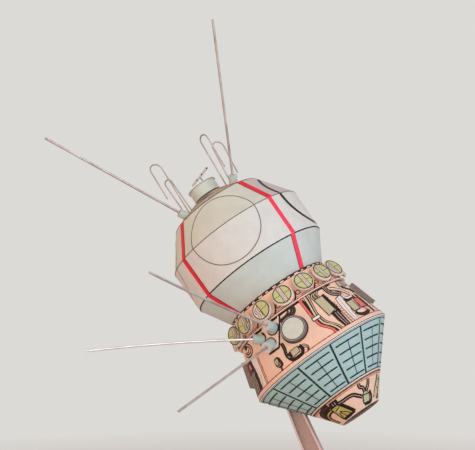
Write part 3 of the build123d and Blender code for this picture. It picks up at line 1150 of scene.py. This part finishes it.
@dataclass
class Module:
    """Instrument module: peach cone with drawn pipes and boxes, sockets, rods, drum and plates."""

    axis: CraftAxis
    drum: tuple = (-4.9, -11.3)
    drum_face: float = 5.6
    sockets: tuple = ("upper", "middle", "lower")

    def dress(self) -> None:
        """Card finishes and steel rods."""
        # Warm peach print, with a fine pale line at the folds.
        dress_cone(self.axis, "module_cone", "matt_card_peach_module", "fbcfb3", core_width=0.5)
        # Rolled card with handled, blotchy ink.
        dress(CardFinish("matt_card_sea_mint", "bed0c5", mottle_mm=3.0, stain=0.14),
              *(f"module_socket_{name}" for name in self.sockets))
        # Wire with a soft bright line; the middle rod is a nearly white copy of the same steel: a painted
        # highlight.
        dress(WireFinish("drawn_steel_rod", "d6c8bf", "b09b90"), "module_rod_upper", "module_rod_lower")
        dress(WireFinish("drawn_steel_rod_painted_highlight", "f4eeec", "dccfca", 0.4), "module_rod_middle")
        # A dark wall that rings the drum's pale face.
        dress(CardFinish("matt_card_drum_wall", "7a6c66", mottle_mm=2.0, stain=0.2), "round_drum")
        # Thick board, cut and left bare: the dullest brown on the craft.
        dress(CardFinish("cut_grey_brown_board", "8b7a6f", stain=0.18),
              "side_plate_left", "side_plate_right")

    def build(self) -> None:
        """Prints the front and the back of the cone, the drum's face and the socket ends."""
        band = cone_of(self.axis, "module_cone")
        prints = PrintSet("module", "peach_card")
        for turn in (0.0, 180.0):
            draw = Drawing(prints, band, turn)
            for part in (self._neck, self._bundle, self._cables, self._tall_box, self._small_box,
                         self._right_side, self._left_side):
                part(draw)
        draw = Drawing(prints, band)
        draw.line(Tone.RUST, around(-24.0), 0.45, 1, waver=0.2)
        draw.line(Tone.BROWN, around(-0.6), 0.4, 1, waver=0.15)
        self._socket_feet(draw)
        prints.build()
        self._drum_print(band)
        self._socket_print()

    def _neck(self, draw: Drawing) -> None:
        """Heavy dark pieces under the ridge, and the panel that carries the sockets."""
        for start, stop in ((-43, -31), (-19.5, 13.6), (24, 50)):
            draw.line(Tone.DARK, around(-1.0, start, stop), 1.05, 2, waver=0.12)
        side = [(-9.2, -1.2), (-16.8, -7.8), (-23.5, -14.0)]
        draw.line(Tone.DARK, side, 0.85, 3, waver=0.1)
        draw.line(Tone.PALE, side, 0.7, 2, shift=-0.8)
        draw.line(Tone.DARK, [(-23.3, -13.9), (-34.8, -13.5)], 1.05, 3, waver=0.1)

    def _bundle(self, draw: Drawing) -> None:
        """Bundle of dark strands that bends out of the neck behind the drum."""
        strands = (
            [(4.4, -0.6), (4.9, -2.8), (1.8, -4.5), (-4.0, -5.0), (-10.5, -5.2)],
            [(2.0, -0.7), (2.2, -2.6), (-1.3, -3.6), (-5.9, -4.0), (-11.5, -4.4)],
            [(-0.9, -0.8), (-1.2, -2.2), (-4.6, -3.1), (-11.5, -3.4)],
        )
        for strand, width in zip(strands, (1.5, 1.2, 1.0)):
            draw.pipe(Tone.LINE, strand, width, 0.16)
        draw.line(Tone.BROWN, [(-9.0, -3.0), (-10.4, -5.4)], 1.2, 2)

    def _cables(self, draw: Drawing) -> None:
        """Red cable and two pale ones that run side by side from the ridge to the rim, clamped."""
        red = [(13.2, -0.3), (13.1, -4.5), (12.9, -10.3), (13.2, -14.2), (14.3, -17.2), (17.6, -19.9),
               (19.6, -22.0), (20.1, -24.4)]
        gap = [(15.9, -0.6), (15.2, -4.0), (14.5, -7.5), (14.2, -11.0)]
        gap_low = [(14.9, -14.2), (15.8, -16.9), (19.3, -19.8), (21.6, -22.5), (22.4, -24.2)]
        pale = [(18.6, -0.5), (17.9, -4.2), (16.7, -8.0), (15.7, -11.8), (16.2, -14.0), (17.3, -17.0),
                (21.1, -20.0), (23.2, -22.7), (23.7, -24.4)]
        outer = [(21.6, -0.5), (20.6, -3.8), (18.8, -8.2), (17.7, -11.5), (18.2, -13.4), (19.2, -16.4),
                 (22.2, -19.3), (25.0, -21.8), (26.0, -24.2)]
        draw.pipe(Tone.PEACH, outer, 1.3, 0.25)
        draw.pipe(Tone.SAND, pale, 1.45, 0.55, 4)
        draw.curve(Tone.DARK, gap, 1.7, 3, taper=0.25)
        draw.curve(Tone.DARK, gap_low, 1.0, 3)
        draw.curve(Tone.DEEP_RED, red, 1.45, 6)
        draw.curve(Tone.PIPE_RED, red, 0.95, 7)
        clamp = [(11.6, -11.9), (18.7, -12.0), (18.5, -13.7), (11.6, -13.7)]
        draw.box(Tone.PALE, clamp, 0.45, 8)

    def _tall_box(self, draw: Drawing) -> None:
        """Tall box with a coil on top, a deep shadow, and a ribbed cable to the rim."""
        shade = [(33.6, -4.2), (34.4, -7.0), (33.7, -9.5), (34.9, -12.0), (34.3, -16.4)]
        draw.curve(Tone.DARK, shade, 1.9, 3, waver=0.25)
        cable = [(27.2, -14.6), (27.4, -19.2), (28.6, -23.9), (34.0, -24.3), (34.5, -20.0), (35.2, -14.6)]
        draw.patch(Tone.DARK, cable, 3)
        for aside in (-1.0, 1.2):
            rib = [(31.4 + aside, -15.6), (31.2 + aside, -19.0), (31.4 + 0.8 * aside, -23.6)]
            draw.curve(Tone.PEACH, rib, 0.24, 4)
        box = [(23.6, -4.7), (32.6, -4.7), (32.9, -14.0), (24.7, -15.3)]
        draw.box(Tone.KHAKI, box, 0.45, 5)
        for step in range(3):
            coil = [(24.2 + 2.7 * step, -4.5), (24.0 + 2.7 * step, -2.4), (27.0 + 2.7 * step, -1.3)]
            draw.pipe(Tone.SAND, coil, 1.3, 0.3, 3)

    def _small_box(self, draw: Drawing) -> None:
        """Small box by the rim with its lead, plug and wires, and a bulb beside it."""
        lead = [(-21.4, -12.6), (-21.6, -16.3), (-22.4, -18.8), (-21.2, -21.6), (-19.5, -18.6),
                (-18.4, -16.3), (-18.6, -13.4)]
        draw.patch(Tone.DARK, lead, 2)
        draw.curve(Tone.LINE, [(-20.0, -13.6), (-20.0, -16.6), (-20.9, -19.4)], 0.25, 3)
        shade = [(-20.3, -21.2), (-17.6, -23.3), (-12.5, -23.6), (-9.2, -23.2), (-7.6, -21.4),
                 (-8.6, -19.2)]
        draw.curve(Tone.DARK, shade, 1.8, 3)
        plug = [(-22.6, -19.8), (-17.6, -18.8), (-16.8, -21.6), (-20.5, -22.6)]
        draw.patch(Tone.DARK, plug, 4)
        draw.line(Tone.STEEL, [(-20.6, -20.2), (-19.2, -21.4)], 0.4, 5)
        draw.box(Tone.KHAKI, [(-17.2, -18.9), (-10.2, -18.9), (-10.1, -21.8), (-17.0, -22.3)], 0.4, 5)
        for rise in (0.0, 0.75, 1.5):
            wire = [(-8.4, -19.8 - rise), (-4.9 - 0.5 * rise, -20.1 - rise),
                    (-2.7 - rise, -22.2 - 0.3 * rise), (-3.9 - 0.9 * rise, -24.0)]
            draw.curve(Tone.BROWN, wire, 0.34, 2)
        bulb = [(-33.0, -17.2), (-28.6, -17.2), (-26.8, -20.2), (-27.2, -22.2), (-31.0, -22.3),
                (-33.8, -20.1)]
        draw.patch(Tone.DARK, bulb, 3, smooth=True)
        glass = [(-33.0, -17.9), (-30.2, -17.7), (-29.9, -19.3), (-31.6, -20.3), (-33.2, -19.5)]
        draw.patch(Tone.KHAKI, glass, 4, smooth=True)
        for height in (-20.3, -21.2):
            draw.line(Tone.PEACH, [(-32.4, height - 0.2), (-28.6, height)], 0.2, 4)
        draw.line(Tone.DARK, [(-31.8, -17.6), (-31.2, -20.0)], 0.2, 5)
        draw.line(Tone.BROWN, [(-29.4, -21.8), (-30.2, -24.2)], 1.1, 2)

    def _right_side(self, draw: Drawing) -> None:
        """Curved pipes, pale conduit, two boxes and the gear towards the right plate."""
        bend = [(41.6, -0.6), (41.2, -3.4), (43.0, -6.0), (47.0, -7.2), (52.5, -8.0)]
        draw.curve(Tone.DARK, bend, 3.0, 2)
        for aside in (-0.55, 0.55):
            draw.curve(Tone.PEACH, bend, 0.2, 3, shift=aside)
        over = [(45.2, -3.2), (50.1, -4.6), (54.1, -6.2), (57.4, -8.1), (60.6, -10.8)]
        draw.curve(Tone.DARK, over, 2.5, 3)
        draw.curve(Tone.PEACH, over, 1.3, 4)
        conduit = [(40.9, -9.4), (47.7, -8.4), (47.5, -12.0), (47.1, -15.2), (44.2, -19.0), (43.4, -23.8),
                   (38.8, -23.8), (38.8, -18.1), (39.5, -13.8)]
        draw.patch(Tone.PALE, conduit, 2)
        for edge in ([(40.9, -9.4), (39.3, -14.0), (38.8, -18.1), (38.8, -23.8)], conduit[1:6]):
            draw.curve(Tone.BROWN, edge, 0.32, 3)
        draw.line(Tone.BROWN, [(40.9, -9.4), (47.7, -8.4)], 0.5, 3)
        draw.line(Tone.BROWN, [(35.8, -8.6), (35.9, -16.0), (36.1, -23.9)], 0.4, 2)
        middle = [(43.6, -9.6), (42.6, -14.0), (41.2, -18.6), (40.8, -23.8)]
        draw.curve(Tone.RUST, middle, 0.22, 3)
        for height in np.arange(-10.4, -23.6, -1.5):
            tick = [(36.6, height), (38.2, height - 0.5)]
            draw.line(Tone.RUST, tick, 0.25, 2)
        arch = [(46.6, -12.2), (49.5, -12.1), (56.0, -12.1), (62.6, -12.1)]
        draw.curve(Tone.DARK, arch, 1.9, 3)
        tube = [(50.4, -8.6), (50.2, -10.6), (52.2, -11.6), (59.4, -11.5)]
        draw.pipe(Tone.PALE, tube, 1.7, 0.6, 4)
        gear = [(45.6, -20.2), (47.6, -22.0), (52.3, -23.0), (58.0, -22.6), (61.0, -21.4)]
        draw.curve(Tone.DARK, gear, 2.1, 3)
        draw.patch(Tone.PALE, [(49.2, -20.2), (53.6, -20.5), (52.8, -22.0)], 5)
        draw.line(Tone.PIPE_RED, [(57.6, -20.3), (61.9, -21.4)], 1.3, 5)
        draw.box(Tone.KHAKI, [(46.4, -13.3), (54.7, -13.4), (53.7, -19.5), (45.6, -19.7)], 0.6, 5)
        draw.box(Tone.PIPE_RED, [(57.6, -13.1), (64.8, -13.4), (63.9, -19.5), (55.6, -19.4)], 0.6, 6)
        near = [(67.0, -10.8), (67.2, -15.0), (66.6, -19.4), (66.2, -23.6)]
        draw.curve(Tone.DARK, near, 2.3, 3, waver=0.25)
        far = [(70.4, -5.6), (72.4, -9.6), (74.0, -15.0), (74.8, -20.6), (75.0, -24.0)]
        draw.curve(Tone.DARK, far, 1.1, 3, waver=0.2)
        draw.box(Tone.KHAKI, [(60.4, -0.8), (66.4, -0.9), (63.6, -4.4), (57.6, -4.4)], 0.5, 4)
        draw.box(Tone.STEEL, [(68.8, -1.0), (75.7, -0.9), (75.2, -4.3), (66.6, -4.6)], 0.5, 4)
        after = [(60.0, -4.6), (63.4, -5.8), (67.6, -7.2), (70.4, -9.8)]
        draw.curve(Tone.DARK, after, 2.0, 3, waver=0.2)
        draw.line(Tone.PALE, [(66.4, -5.6), (72.4, -6.6)], 1.0, 4)

    def _left_side(self, draw: Drawing) -> None:
        """Pale strip with fine lines, then loops, a red block and tubes towards the left plate."""
        strip = [(-61.3, -9.0), (-51.0, -9.9), (-50.4, -13.3), (-50.4, -17.0), (-50.5, -23.8),
                 (-57.2, -23.8), (-57.0, -20.5), (-57.8, -16.1), (-59.8, -12.3)]
        draw.patch(Tone.PALE, strip, 2)
        for aside, width in ((-50.6, 0.4), (-48.6, 0.42)):
            line = [(aside, -10.1), (aside + 0.3, -14.1), (aside + 0.2, -19.1), (aside, -23.8)]
            draw.line(Tone.RUST, line, width, 3, waver=0.4)
        draw.line(Tone.RUST, [(-54.4, -18.0), (-55.6, -23.6)], 0.3, 3)
        edge = [(-63.4, -7.8), (-62.6, -12.0), (-60.8, -16.4), (-60.4, -23.8)]
        draw.curve(Tone.DARK, edge, 2.4, 4, waver=0.2)
        draw.patch(Tone.BROWN, [(-63.0, -8.0), (-84.0, -8.0), (-84.0, -24.0), (-60.4, -24.0)], 3)
        loop = [(-60.4, -1.0), (-55.0, -2.8), (-53.2, -5.0), (-56.6, -6.4), (-63.2, -6.2), (-69.0, -4.4)]
        draw.pipe(Tone.PEACH, loop, 2.0, 0.25, 3)
        draw.patch(Tone.DARK, [(-57.9, -1.0), (-68.4, -1.0), (-64.3, -3.3), (-59.0, -2.6)], 4)
        draw.curve(Tone.BROWN, [(-56.8, -3.6), (-60.6, -4.8), (-64.6, -4.2)], 0.5, 4)
        block = [(-66.0, -9.4), (-63.8, -12.6), (-70.6, -12.9), (-73.4, -9.2)]
        draw.box(Tone.PIPE_RED, block, 0.8, 6)
        for index, tone in enumerate((Tone.KHAKI, Tone.PEACH, Tone.KHAKI, Tone.LILAC, Tone.PEACH)):
            top = -63.4 - 4.0 * index
            tube = [(top, -14.2), (top - 2.2, -16.8), (top - 0.6, -19.8), (top - 2.6, -23.6)]
            draw.pipe(tone, tube, 2.0, 0.3, 4)

    def _socket_feet(self, draw: Drawing) -> None:
        """Dark arcs drawn round the feet of the three rod sockets."""
        arcs = ((-20.6, -4.1, 3.3, 25.0, -190.0, 0.7), (-36.2, -4.6, 3.0, 66.0, -140.0, 1.0),
                (-29.1, -10.0, 3.2, 150.0, -40.0, 0.45))
        for azimuth, height, radius, start, stop, width in arcs:
            arc = draw.sheet.circle(azimuth, height, radius, start, stop, 31)
            draw.line(Tone.DARK, arc, width, 3, taper=0.15)
        foot = draw.sheet.circle(*self.drum, 6.8, count=73)[:-1]
        draw.line(Tone.DARK, foot, 0.5, 3, closed=True)

    def _drum_print(self, band: Band) -> None:
        """Pale face of the drum, and two fine rings round it."""
        face = flat_top(node_points("round_drum"), band, *self.drum)
        prints = PrintSet("drum", "drum_card")
        # A pale, clouded disc of printed card: the brightest flat patch on the module.
        pale = CardFinish("matt_card_drum_face", "dcdccb", mottle_mm=2.2, stain=0.14)
        disc = Ink("drum_face_card", pale, "drum_card")
        disc.patch(face, disc_outline(self.drum_face, 36), 1)
        disc.build()
        prints(Tone.STEEL).stroke(face, disc_outline(self.drum_face + 0.35), 0.35, 2, closed=True)
        prints(Tone.BROWN).stroke(face, disc_outline(self.drum_face + 0.05), 0.4, 3, closed=True)
        prints.build()

    def _socket_print(self) -> None:
        """Pale lilac end of each socket, round its rod."""
        prints = PrintSet("socket", "mint_card")
        for name in self.sockets:
            end = socket_end(f"module_rod_{name}", f"module_socket_{name}")
            prints(Tone.LILAC).stroke(end, disc_outline(1.65), 1.85, 1, closed=True)
        prints.build()


@dataclass
class Radiator:
    """Lower cone with blue cooling panels."""

    axis: CraftAxis
    panels: int = 12
    first: float = 10.8
    rows: tuple = (-29.9, -33.5, -37.1, -40.7, -44.4)
    bar_span: float = 24.0
    bar_width: float = 0.75
    divider: float = 0.95

    def dress(self) -> None:
        """Blue card."""
        # Grey blue print, even and flat, with a fine pale line at the folds.
        dress_cone(self.axis, "radiator_cone", "matt_card_grey_blue", "b3ccc4", stain=0.1, core_width=0.5)

    def build(self) -> None:
        """Prints rim stripes, dividers, bars and the edge at the waist."""
        prints = PrintSet("radiator", "blue_card")
        draw = Drawing(prints, cone_of(self.axis, "radiator_cone"))
        low, top = draw.sheet.ends
        for tone, height, width, layer, waver in (
            (Tone.PALE, top - 0.7, 1.3, 1, 0.0), (Tone.BROWN, top - 0.3, 0.3, 2, 0.0),
            (Tone.BROWN, top - 0.95, 0.25, 2, 0.0), (Tone.BAR, top - 1.55, 0.45, 2, 0.0),
            (Tone.BAR, low + 1.1, 0.5, 2, 0.15), (Tone.PEACH, low + 0.5, 0.75, 1, 0.0),
            (Tone.BROWN, low + 0.12, 0.35, 2, 0.0),
        ):
            draw.line(tone, around(height), width, layer, waver=waver)
        pitch = 360.0 / self.panels
        for index in range(self.panels):
            edge = self.first + index * pitch
            draw.line(Tone.BAR, [(edge, top - 1.6), (edge - 1.2, low + 1.0)], self.divider, 3)
            middle = edge + pitch / 2
            for row, height in enumerate(self.rows):
                half = self.bar_span / 2 - 0.15 * row
                bar = around(height, middle - half, middle + half)
                draw.line(Tone.BAR, bar, self.bar_width, 3, waver=0.08)
            post = [(middle, self.rows[0]), (middle - 0.5, self.rows[-1])]
            draw.line(Tone.BAR, post, 0.38, 2)
        prints.build()


@dataclass
class Tail:
    """Tail cone with drawn pipes, and the card that closes it."""

    axis: CraftAxis

    def dress(self) -> None:
        """Peach card with a pale cut edge, and a dark tail."""
        # Warm peach print that greys where it is folded in to the tail card.
        dress_cone(self.axis, "tail_cone", "matt_card_peach_tail", "f9cbac",
                   core="a09084", core_width=0.6)
        # Solid dark print that closes the outline.
        dress(CardFinish("matt_card_dark_brown", "20150f", stain=0.25), "tail_disc")

    def build(self) -> None:
        """Prints a funnel, a canister and pipes, on the front and the back."""
        band = cone_of(self.axis, "tail_cone")
        prints = PrintSet("tail", "peach_card")
        draw = Drawing(prints, band)
        draw.line(Tone.BROWN, around(band.top - 0.3), 0.4, 2, waver=0.15)
        draw.line(Tone.RUST, around(band.top - 0.95), 0.3, 2, waver=0.2)
        for turn in (0.0, 180.0):
            for part in (self._funnel, self._tubes, self._canister):
                part(Drawing(prints, band, turn, waver=0.04))
        prints.build()

    def _funnel(self, draw: Drawing) -> None:
        """Olive funnel with fan lines and a heavy shadow, under a dark block of pipe ends."""
        block = [(-33.0, -48.3), (-17.8, -48.4), (-20.5, -51.0), (-38.1, -50.4)]
        draw.patch(Tone.DARK, block, 3)
        for aside in (-28.5, -24.0):
            draw.line(Tone.STEEL, [(aside, -48.9), (aside - 1.0, -50.2)], 0.35, 4)
        shade = [(-20.5, -50.9), (-15.0, -54.0), (-8.0, -57.6)]
        draw.curve(Tone.DARK, shade, 1.9, 3)
        draw.line(Tone.DARK, [(-8.0, -57.7), (-26.0, -58.1), (-44.0, -58.1)], 1.0, 3)
        shape = [(-38.5, -50.6), (-24.0, -50.6), (-11.5, -57.2), (-44.0, -57.5)]
        draw.box(Tone.OLIVE, shape, 0.7, 5)
        bright = [(-35.6, -52.8), (-26.0, -52.3), (-29.0, -54.0), (-34.5, -54.3)]
        draw.patch(Tone.KHAKI, bright, 6)
        for start, stop in (((-36.6, -52.6), (-25.0, -52.0)), ((-31.0, -53.6), (-17.5, -56.8)),
                            ((-32.0, -53.8), (-29.0, -57.4)), ((-35.0, -54.2), (-41.0, -57.3))):
            draw.line(Tone.DARK, [start, stop], 0.5, 7)

    def _tubes(self, draw: Drawing) -> None:
        """Two tubes that bend round to the left of the funnel."""
        upper = [(-35.7, -48.8), (-48.0, -49.0), (-60.0, -49.8), (-70.0, -51.4), (-75.0, -54.0)]
        lower = [(-39.5, -51.2), (-50.0, -51.4), (-60.0, -52.2), (-68.0, -54.4), (-70.0, -57.6)]
        draw.pipe(Tone.BROWN, upper, 3.2, 0.22)
        draw.pipe(Tone.OLIVE, lower, 2.8, 0.25)

    def _canister(self, draw: Drawing) -> None:
        """Green canister fed by a long cable and two bent pipes, and a jointed tube beyond it."""
        cable = [(-21.0, -50.6), (-11.1, -50.9), (-1.6, -50.9), (6.9, -51.3), (13.3, -52.7),
                 (21.0, -54.2)]
        bend = [(22.5, -48.5), (22.3, -50.0), (27.6, -51.0), (29.0, -53.0)]
        drop = [(41.6, -48.6), (39.4, -50.6), (33.4, -52.8)]
        draw.pipe(Tone.PEACH, cable, 2.2, 0.09)
        draw.pipe(Tone.PEACH, bend, 2.0, 0.10)
        draw.pipe(Tone.PEACH, drop, 2.1, 0.10)
        shade = [(40.4, -53.4), (43.0, -55.8), (38.5, -57.9), (20.0, -57.9)]
        draw.curve(Tone.DARK, shade, 1.3, 3)
        cap = [(24.4, -53.9), (27.4, -52.6), (33.4, -52.9), (36.5, -54.2)]
        draw.box(Tone.KHAKI, cap, 0.4, 4)
        body = [(23.0, -53.8), (38.0, -54.2), (35.4, -57.4), (19.0, -57.2)]
        draw.box(Tone.GREEN, body, 0.6, 6)
        tube = [(73.1, -49.0), (69.5, -51.4), (64.0, -54.4), (60.0, -57.4)]
        draw.pipe(Tone.GREEN, tube, 4.6, 0.4)
        for joint in ((70.9, -50.6), (65.6, -53.6)):
            across = [(joint[0] - 2.6, joint[1]), (joint[0] + 2.6, joint[1] - 0.3)]
            draw.line(Tone.DARK, across, 0.6, 4)
        draw.patch(Tone.DARK, [(66.0, -56.0), (72.0, -56.4), (72.0, -58.0), (60.0, -58.0)], 5)


@dataclass
class Stand:
    """Channel strut and base board. Sizes in mm."""

    web_depth: float = 1.3
    corner: float = 2.0
    corner_inset: float = 0.02
    paper_out: float = 0.05
    paper_rise: float = 0.9
    sides: int = 64

    def dress(self) -> None:
        """Folded card strut, paler on the cut edges that face forward, and a covered board."""
        toward = Matrix(((1, 0, 0), (0, 0, -1), (0, 1, 0))).to_4x4()
        # Folded card: dusty rose brown, with flanges that catch the light as two pale lines.
        dress(CardFinish("folded_rose_brown_card", "c9a799", "e8d2c8", self.web_depth, local=toward,
                         mottle_mm=10.0), "stand_strut")
        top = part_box("stand_base")[1][2] / MM
        # Paper glued over board: broad soft clouding, rubbed pale along its top edge.
        dress(CardFinish("paper_covered_grey_board", "c3ada0", creases=(top,),
                         local=Matrix.Identity(4), mottle_mm=14.0, core_width=0.5), "stand_base")

    def build(self) -> None:
        """Turned-in paper along the board's lower edge: one closed slab round its four sides."""
        low, high = (np.array(corner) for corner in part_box("stand_base"))
        ring = disc_outline(1.0, self.sides)
        corner, out, top = self.corner * MM, self.paper_out * MM, self.paper_rise * MM
        straight_half = (high - low)[:2] / 2 - self.corner_inset * MM - corner
        outline = np.sign(np.round(ring, 6)) * straight_half + ring * corner + ((low + high) / 2)[:2]
        rows = [
            np.hstack([outline + ring * away, np.full((self.sides, 1), low[2] + rise)])
            for away, rise in ((out, 0.0), (out, top), (0.0, top), (0.0, 0.0))
        ]
        # A darker, browner paper, so the board's foot shows as a thin line.
        paper = CardFinish("turned_in_brown_paper", "a58d80", mottle_mm=5.0)
        make_piece("base_paper_edge", np.stack(rows, axis=1).reshape(-1, 3),
                   slab_faces(self.sides, True).tolist(), paper.material())


@dataclass
class Studio:
    """Floor, lamps, world and camera. Places and sizes in metres, focal length in mm."""

    axis: CraftAxis
    distance: float = 0.81684
    right_of_view: float = 0.027505
    below_view: float = 0.04542
    focal: float = 123.82
    pale: str = "dcdad6"
    floor: str = "edf0ee"
    sky: str = "ffe0d2"
    sky_strength: float = 0.48
    floor_sides: int = 64
    floor_rings: tuple = (0.2, 6.0, 9)
    floor_fade: tuple = (0.10, 0.34)
    # Name, place (right, up, back), size, watts, colour: cool key, front, cool rim, warm low fill.
    lamps: tuple = (("key_lamp", (0.55, 0.75, 0.85), 0.5, 4.7, "e4efff"),
                    ("front_lamp", (-0.1, 0.15, 1.1), 0.6, 3.3, "e6f6ff"),
                    ("rim_lamp", (0.95, 0.10, 0.40), 0.6, 2.8, "86cdff"),
                    ("fill_lamp", (-0.95, -0.06, 0.30), 0.5, 2.3, "ffa868"))

    def build(self) -> None:
        """Makes the stage and sets the camera."""
        scene = bpy.context.scene
        scene.view_settings.view_transform = "Standard"
        self._floor()
        self._world(scene)
        for lamp in self.lamps:
            self._lamp(*lamp)
        self._camera(scene)

    def _toward(self, right: float, up: float, back: float) -> Vector:
        """A place given by the viewer: metres right, up and back from the neck."""
        ahead = Vector((-math.sin(VIEW_TURN), math.cos(VIEW_TURN), 0))
        aside = Vector((math.cos(VIEW_TURN), math.sin(VIEW_TURN), 0))
        return Vector(self.axis.origin) + right * aside + up * Vector((0, 0, 1)) - back * ahead

    def _floor(self) -> None:
        """A wide round floor whose far parts fade into the background."""
        rings, sides = np.geomspace(*self.floor_rings), self.floor_sides
        grid = rings[:, None, None] * disc_outline(1.0, sides)[None]
        flat = np.vstack([[[0, 0]], grid.reshape(-1, 2)])
        points = np.hstack([flat, np.zeros((len(flat), 1))])
        first = 1 + np.arange(sides)
        after = np.roll(first, -1)
        fan = np.stack([np.zeros(sides, int), first, after], axis=1).tolist()
        quads = [np.stack([first + inner, first + inner + sides, after + inner + sides, after + inner], 1)
                 for inner in range(0, sides * (len(rings) - 1), sides)]
        # Matt studio paper: keeps the shadow by the model, and fades to the plain background.
        material, tree, output, place = new_material("matt_studio_paper")
        far = add_node(tree, "ShaderNodeVectorMath", {"operation": "LENGTH"}, {0: place})
        path = add_node(tree, "ShaderNodeLightPath", {}, {})
        fade = remap(tree, far.outputs["Value"], self.floor_fade)
        seen = arithmetic(tree, "MULTIPLY", fade, path.outputs["Is Camera Ray"])
        matt = add_node(tree, "ShaderNodeBsdfDiffuse", {"Color": linear(self.floor)}, {})
        glow = add_node(tree, "ShaderNodeEmission", {"Color": linear(self.pale), "Strength": 1.0}, {})
        self._finish_tree(tree, output, seen, matt, glow)
        floor = add_object("studio_floor", points, fan + np.vstack(quads).tolist(), material)

    def _world(self, scene: bpy.types.Scene) -> None:
        """Soft even light, seen as a plain pale background."""
        world = bpy.data.worlds.new("studio_world")
        scene.world = world
        world.use_nodes = True
        tree = world.node_tree
        tree.nodes.clear()
        output = tree.nodes.new("ShaderNodeOutputWorld")
        path = add_node(tree, "ShaderNodeLightPath", {}, {})
        seen = arithmetic(tree, "MAXIMUM", path.outputs["Is Camera Ray"], path.outputs["Is Glossy Ray"])
        light = add_node(tree, "ShaderNodeBackground",
                         {"Color": linear(self.sky), "Strength": self.sky_strength}, {})
        back = add_node(tree, "ShaderNodeBackground", {"Color": linear(self.pale), "Strength": 1.0}, {})
        self._finish_tree(tree, output, seen, light, back)

    @staticmethod
    def _finish_tree(tree: Tree, output: bpy.types.Node, share: Socket, first: bpy.types.Node,
                     second: bpy.types.Node) -> None:
        """Sends a mix of two shaders to the output, by a share from 0 to 1."""
        links = {0: share, 1: first.outputs[0], 2: second.outputs[0]}
        mix = add_node(tree, "ShaderNodeMixShader", {}, links)
        tree.links.new(mix.outputs[0], output.inputs["Surface"])

    def _lamp(self, name: str, spot: tuple, size: float, watts: float, tone: str) -> None:
        """An area lamp aimed at the neck."""
        lamp = bpy.data.lights.new(name, "AREA")
        lamp.size = size
        lamp.energy = watts
        lamp.color = linear(tone)[:3]
        holder = bpy.data.objects.new(name, lamp)
        holder.location = self._toward(*spot)
        aim = Vector(self.axis.origin) - holder.location
        holder.rotation_euler = aim.to_track_quat("-Z", "Y").to_euler()
        bpy.context.scene.collection.objects.link(holder)

    def _camera(self, scene: bpy.types.Scene) -> None:
        """A level long lens, a little to the left of and above the neck."""
        lens = bpy.data.cameras.new("camera")
        lens.sensor_width = 36.0
        lens.lens = self.focal
        lens.clip_start = 0.01
        lens.clip_end = 50.0
        holder = bpy.data.objects.new("camera", lens)
        holder.location = self._toward(-self.right_of_view, self.below_view, self.distance)
        holder.rotation_euler = (math.pi / 2, 0, VIEW_TURN)
        scene.collection.objects.link(holder)
        scene.camera = holder


def main() -> None:
    """Builds and dresses each sub-assembly in turn."""
    logging.basicConfig(level=logging.INFO, format="%(name)s: %(message)s")
    axis = CraftAxis.measured()
    parts = [kind(axis) for kind in (Sphere, Nose, TankBand, Module, Radiator, Tail)]
    for part in (*parts, Stand()):
        part.dress()
        part.build()
        LOG.info("%s built", type(part).__name__)
    Studio(axis).build()


if __name__ == "__main__":
    main()
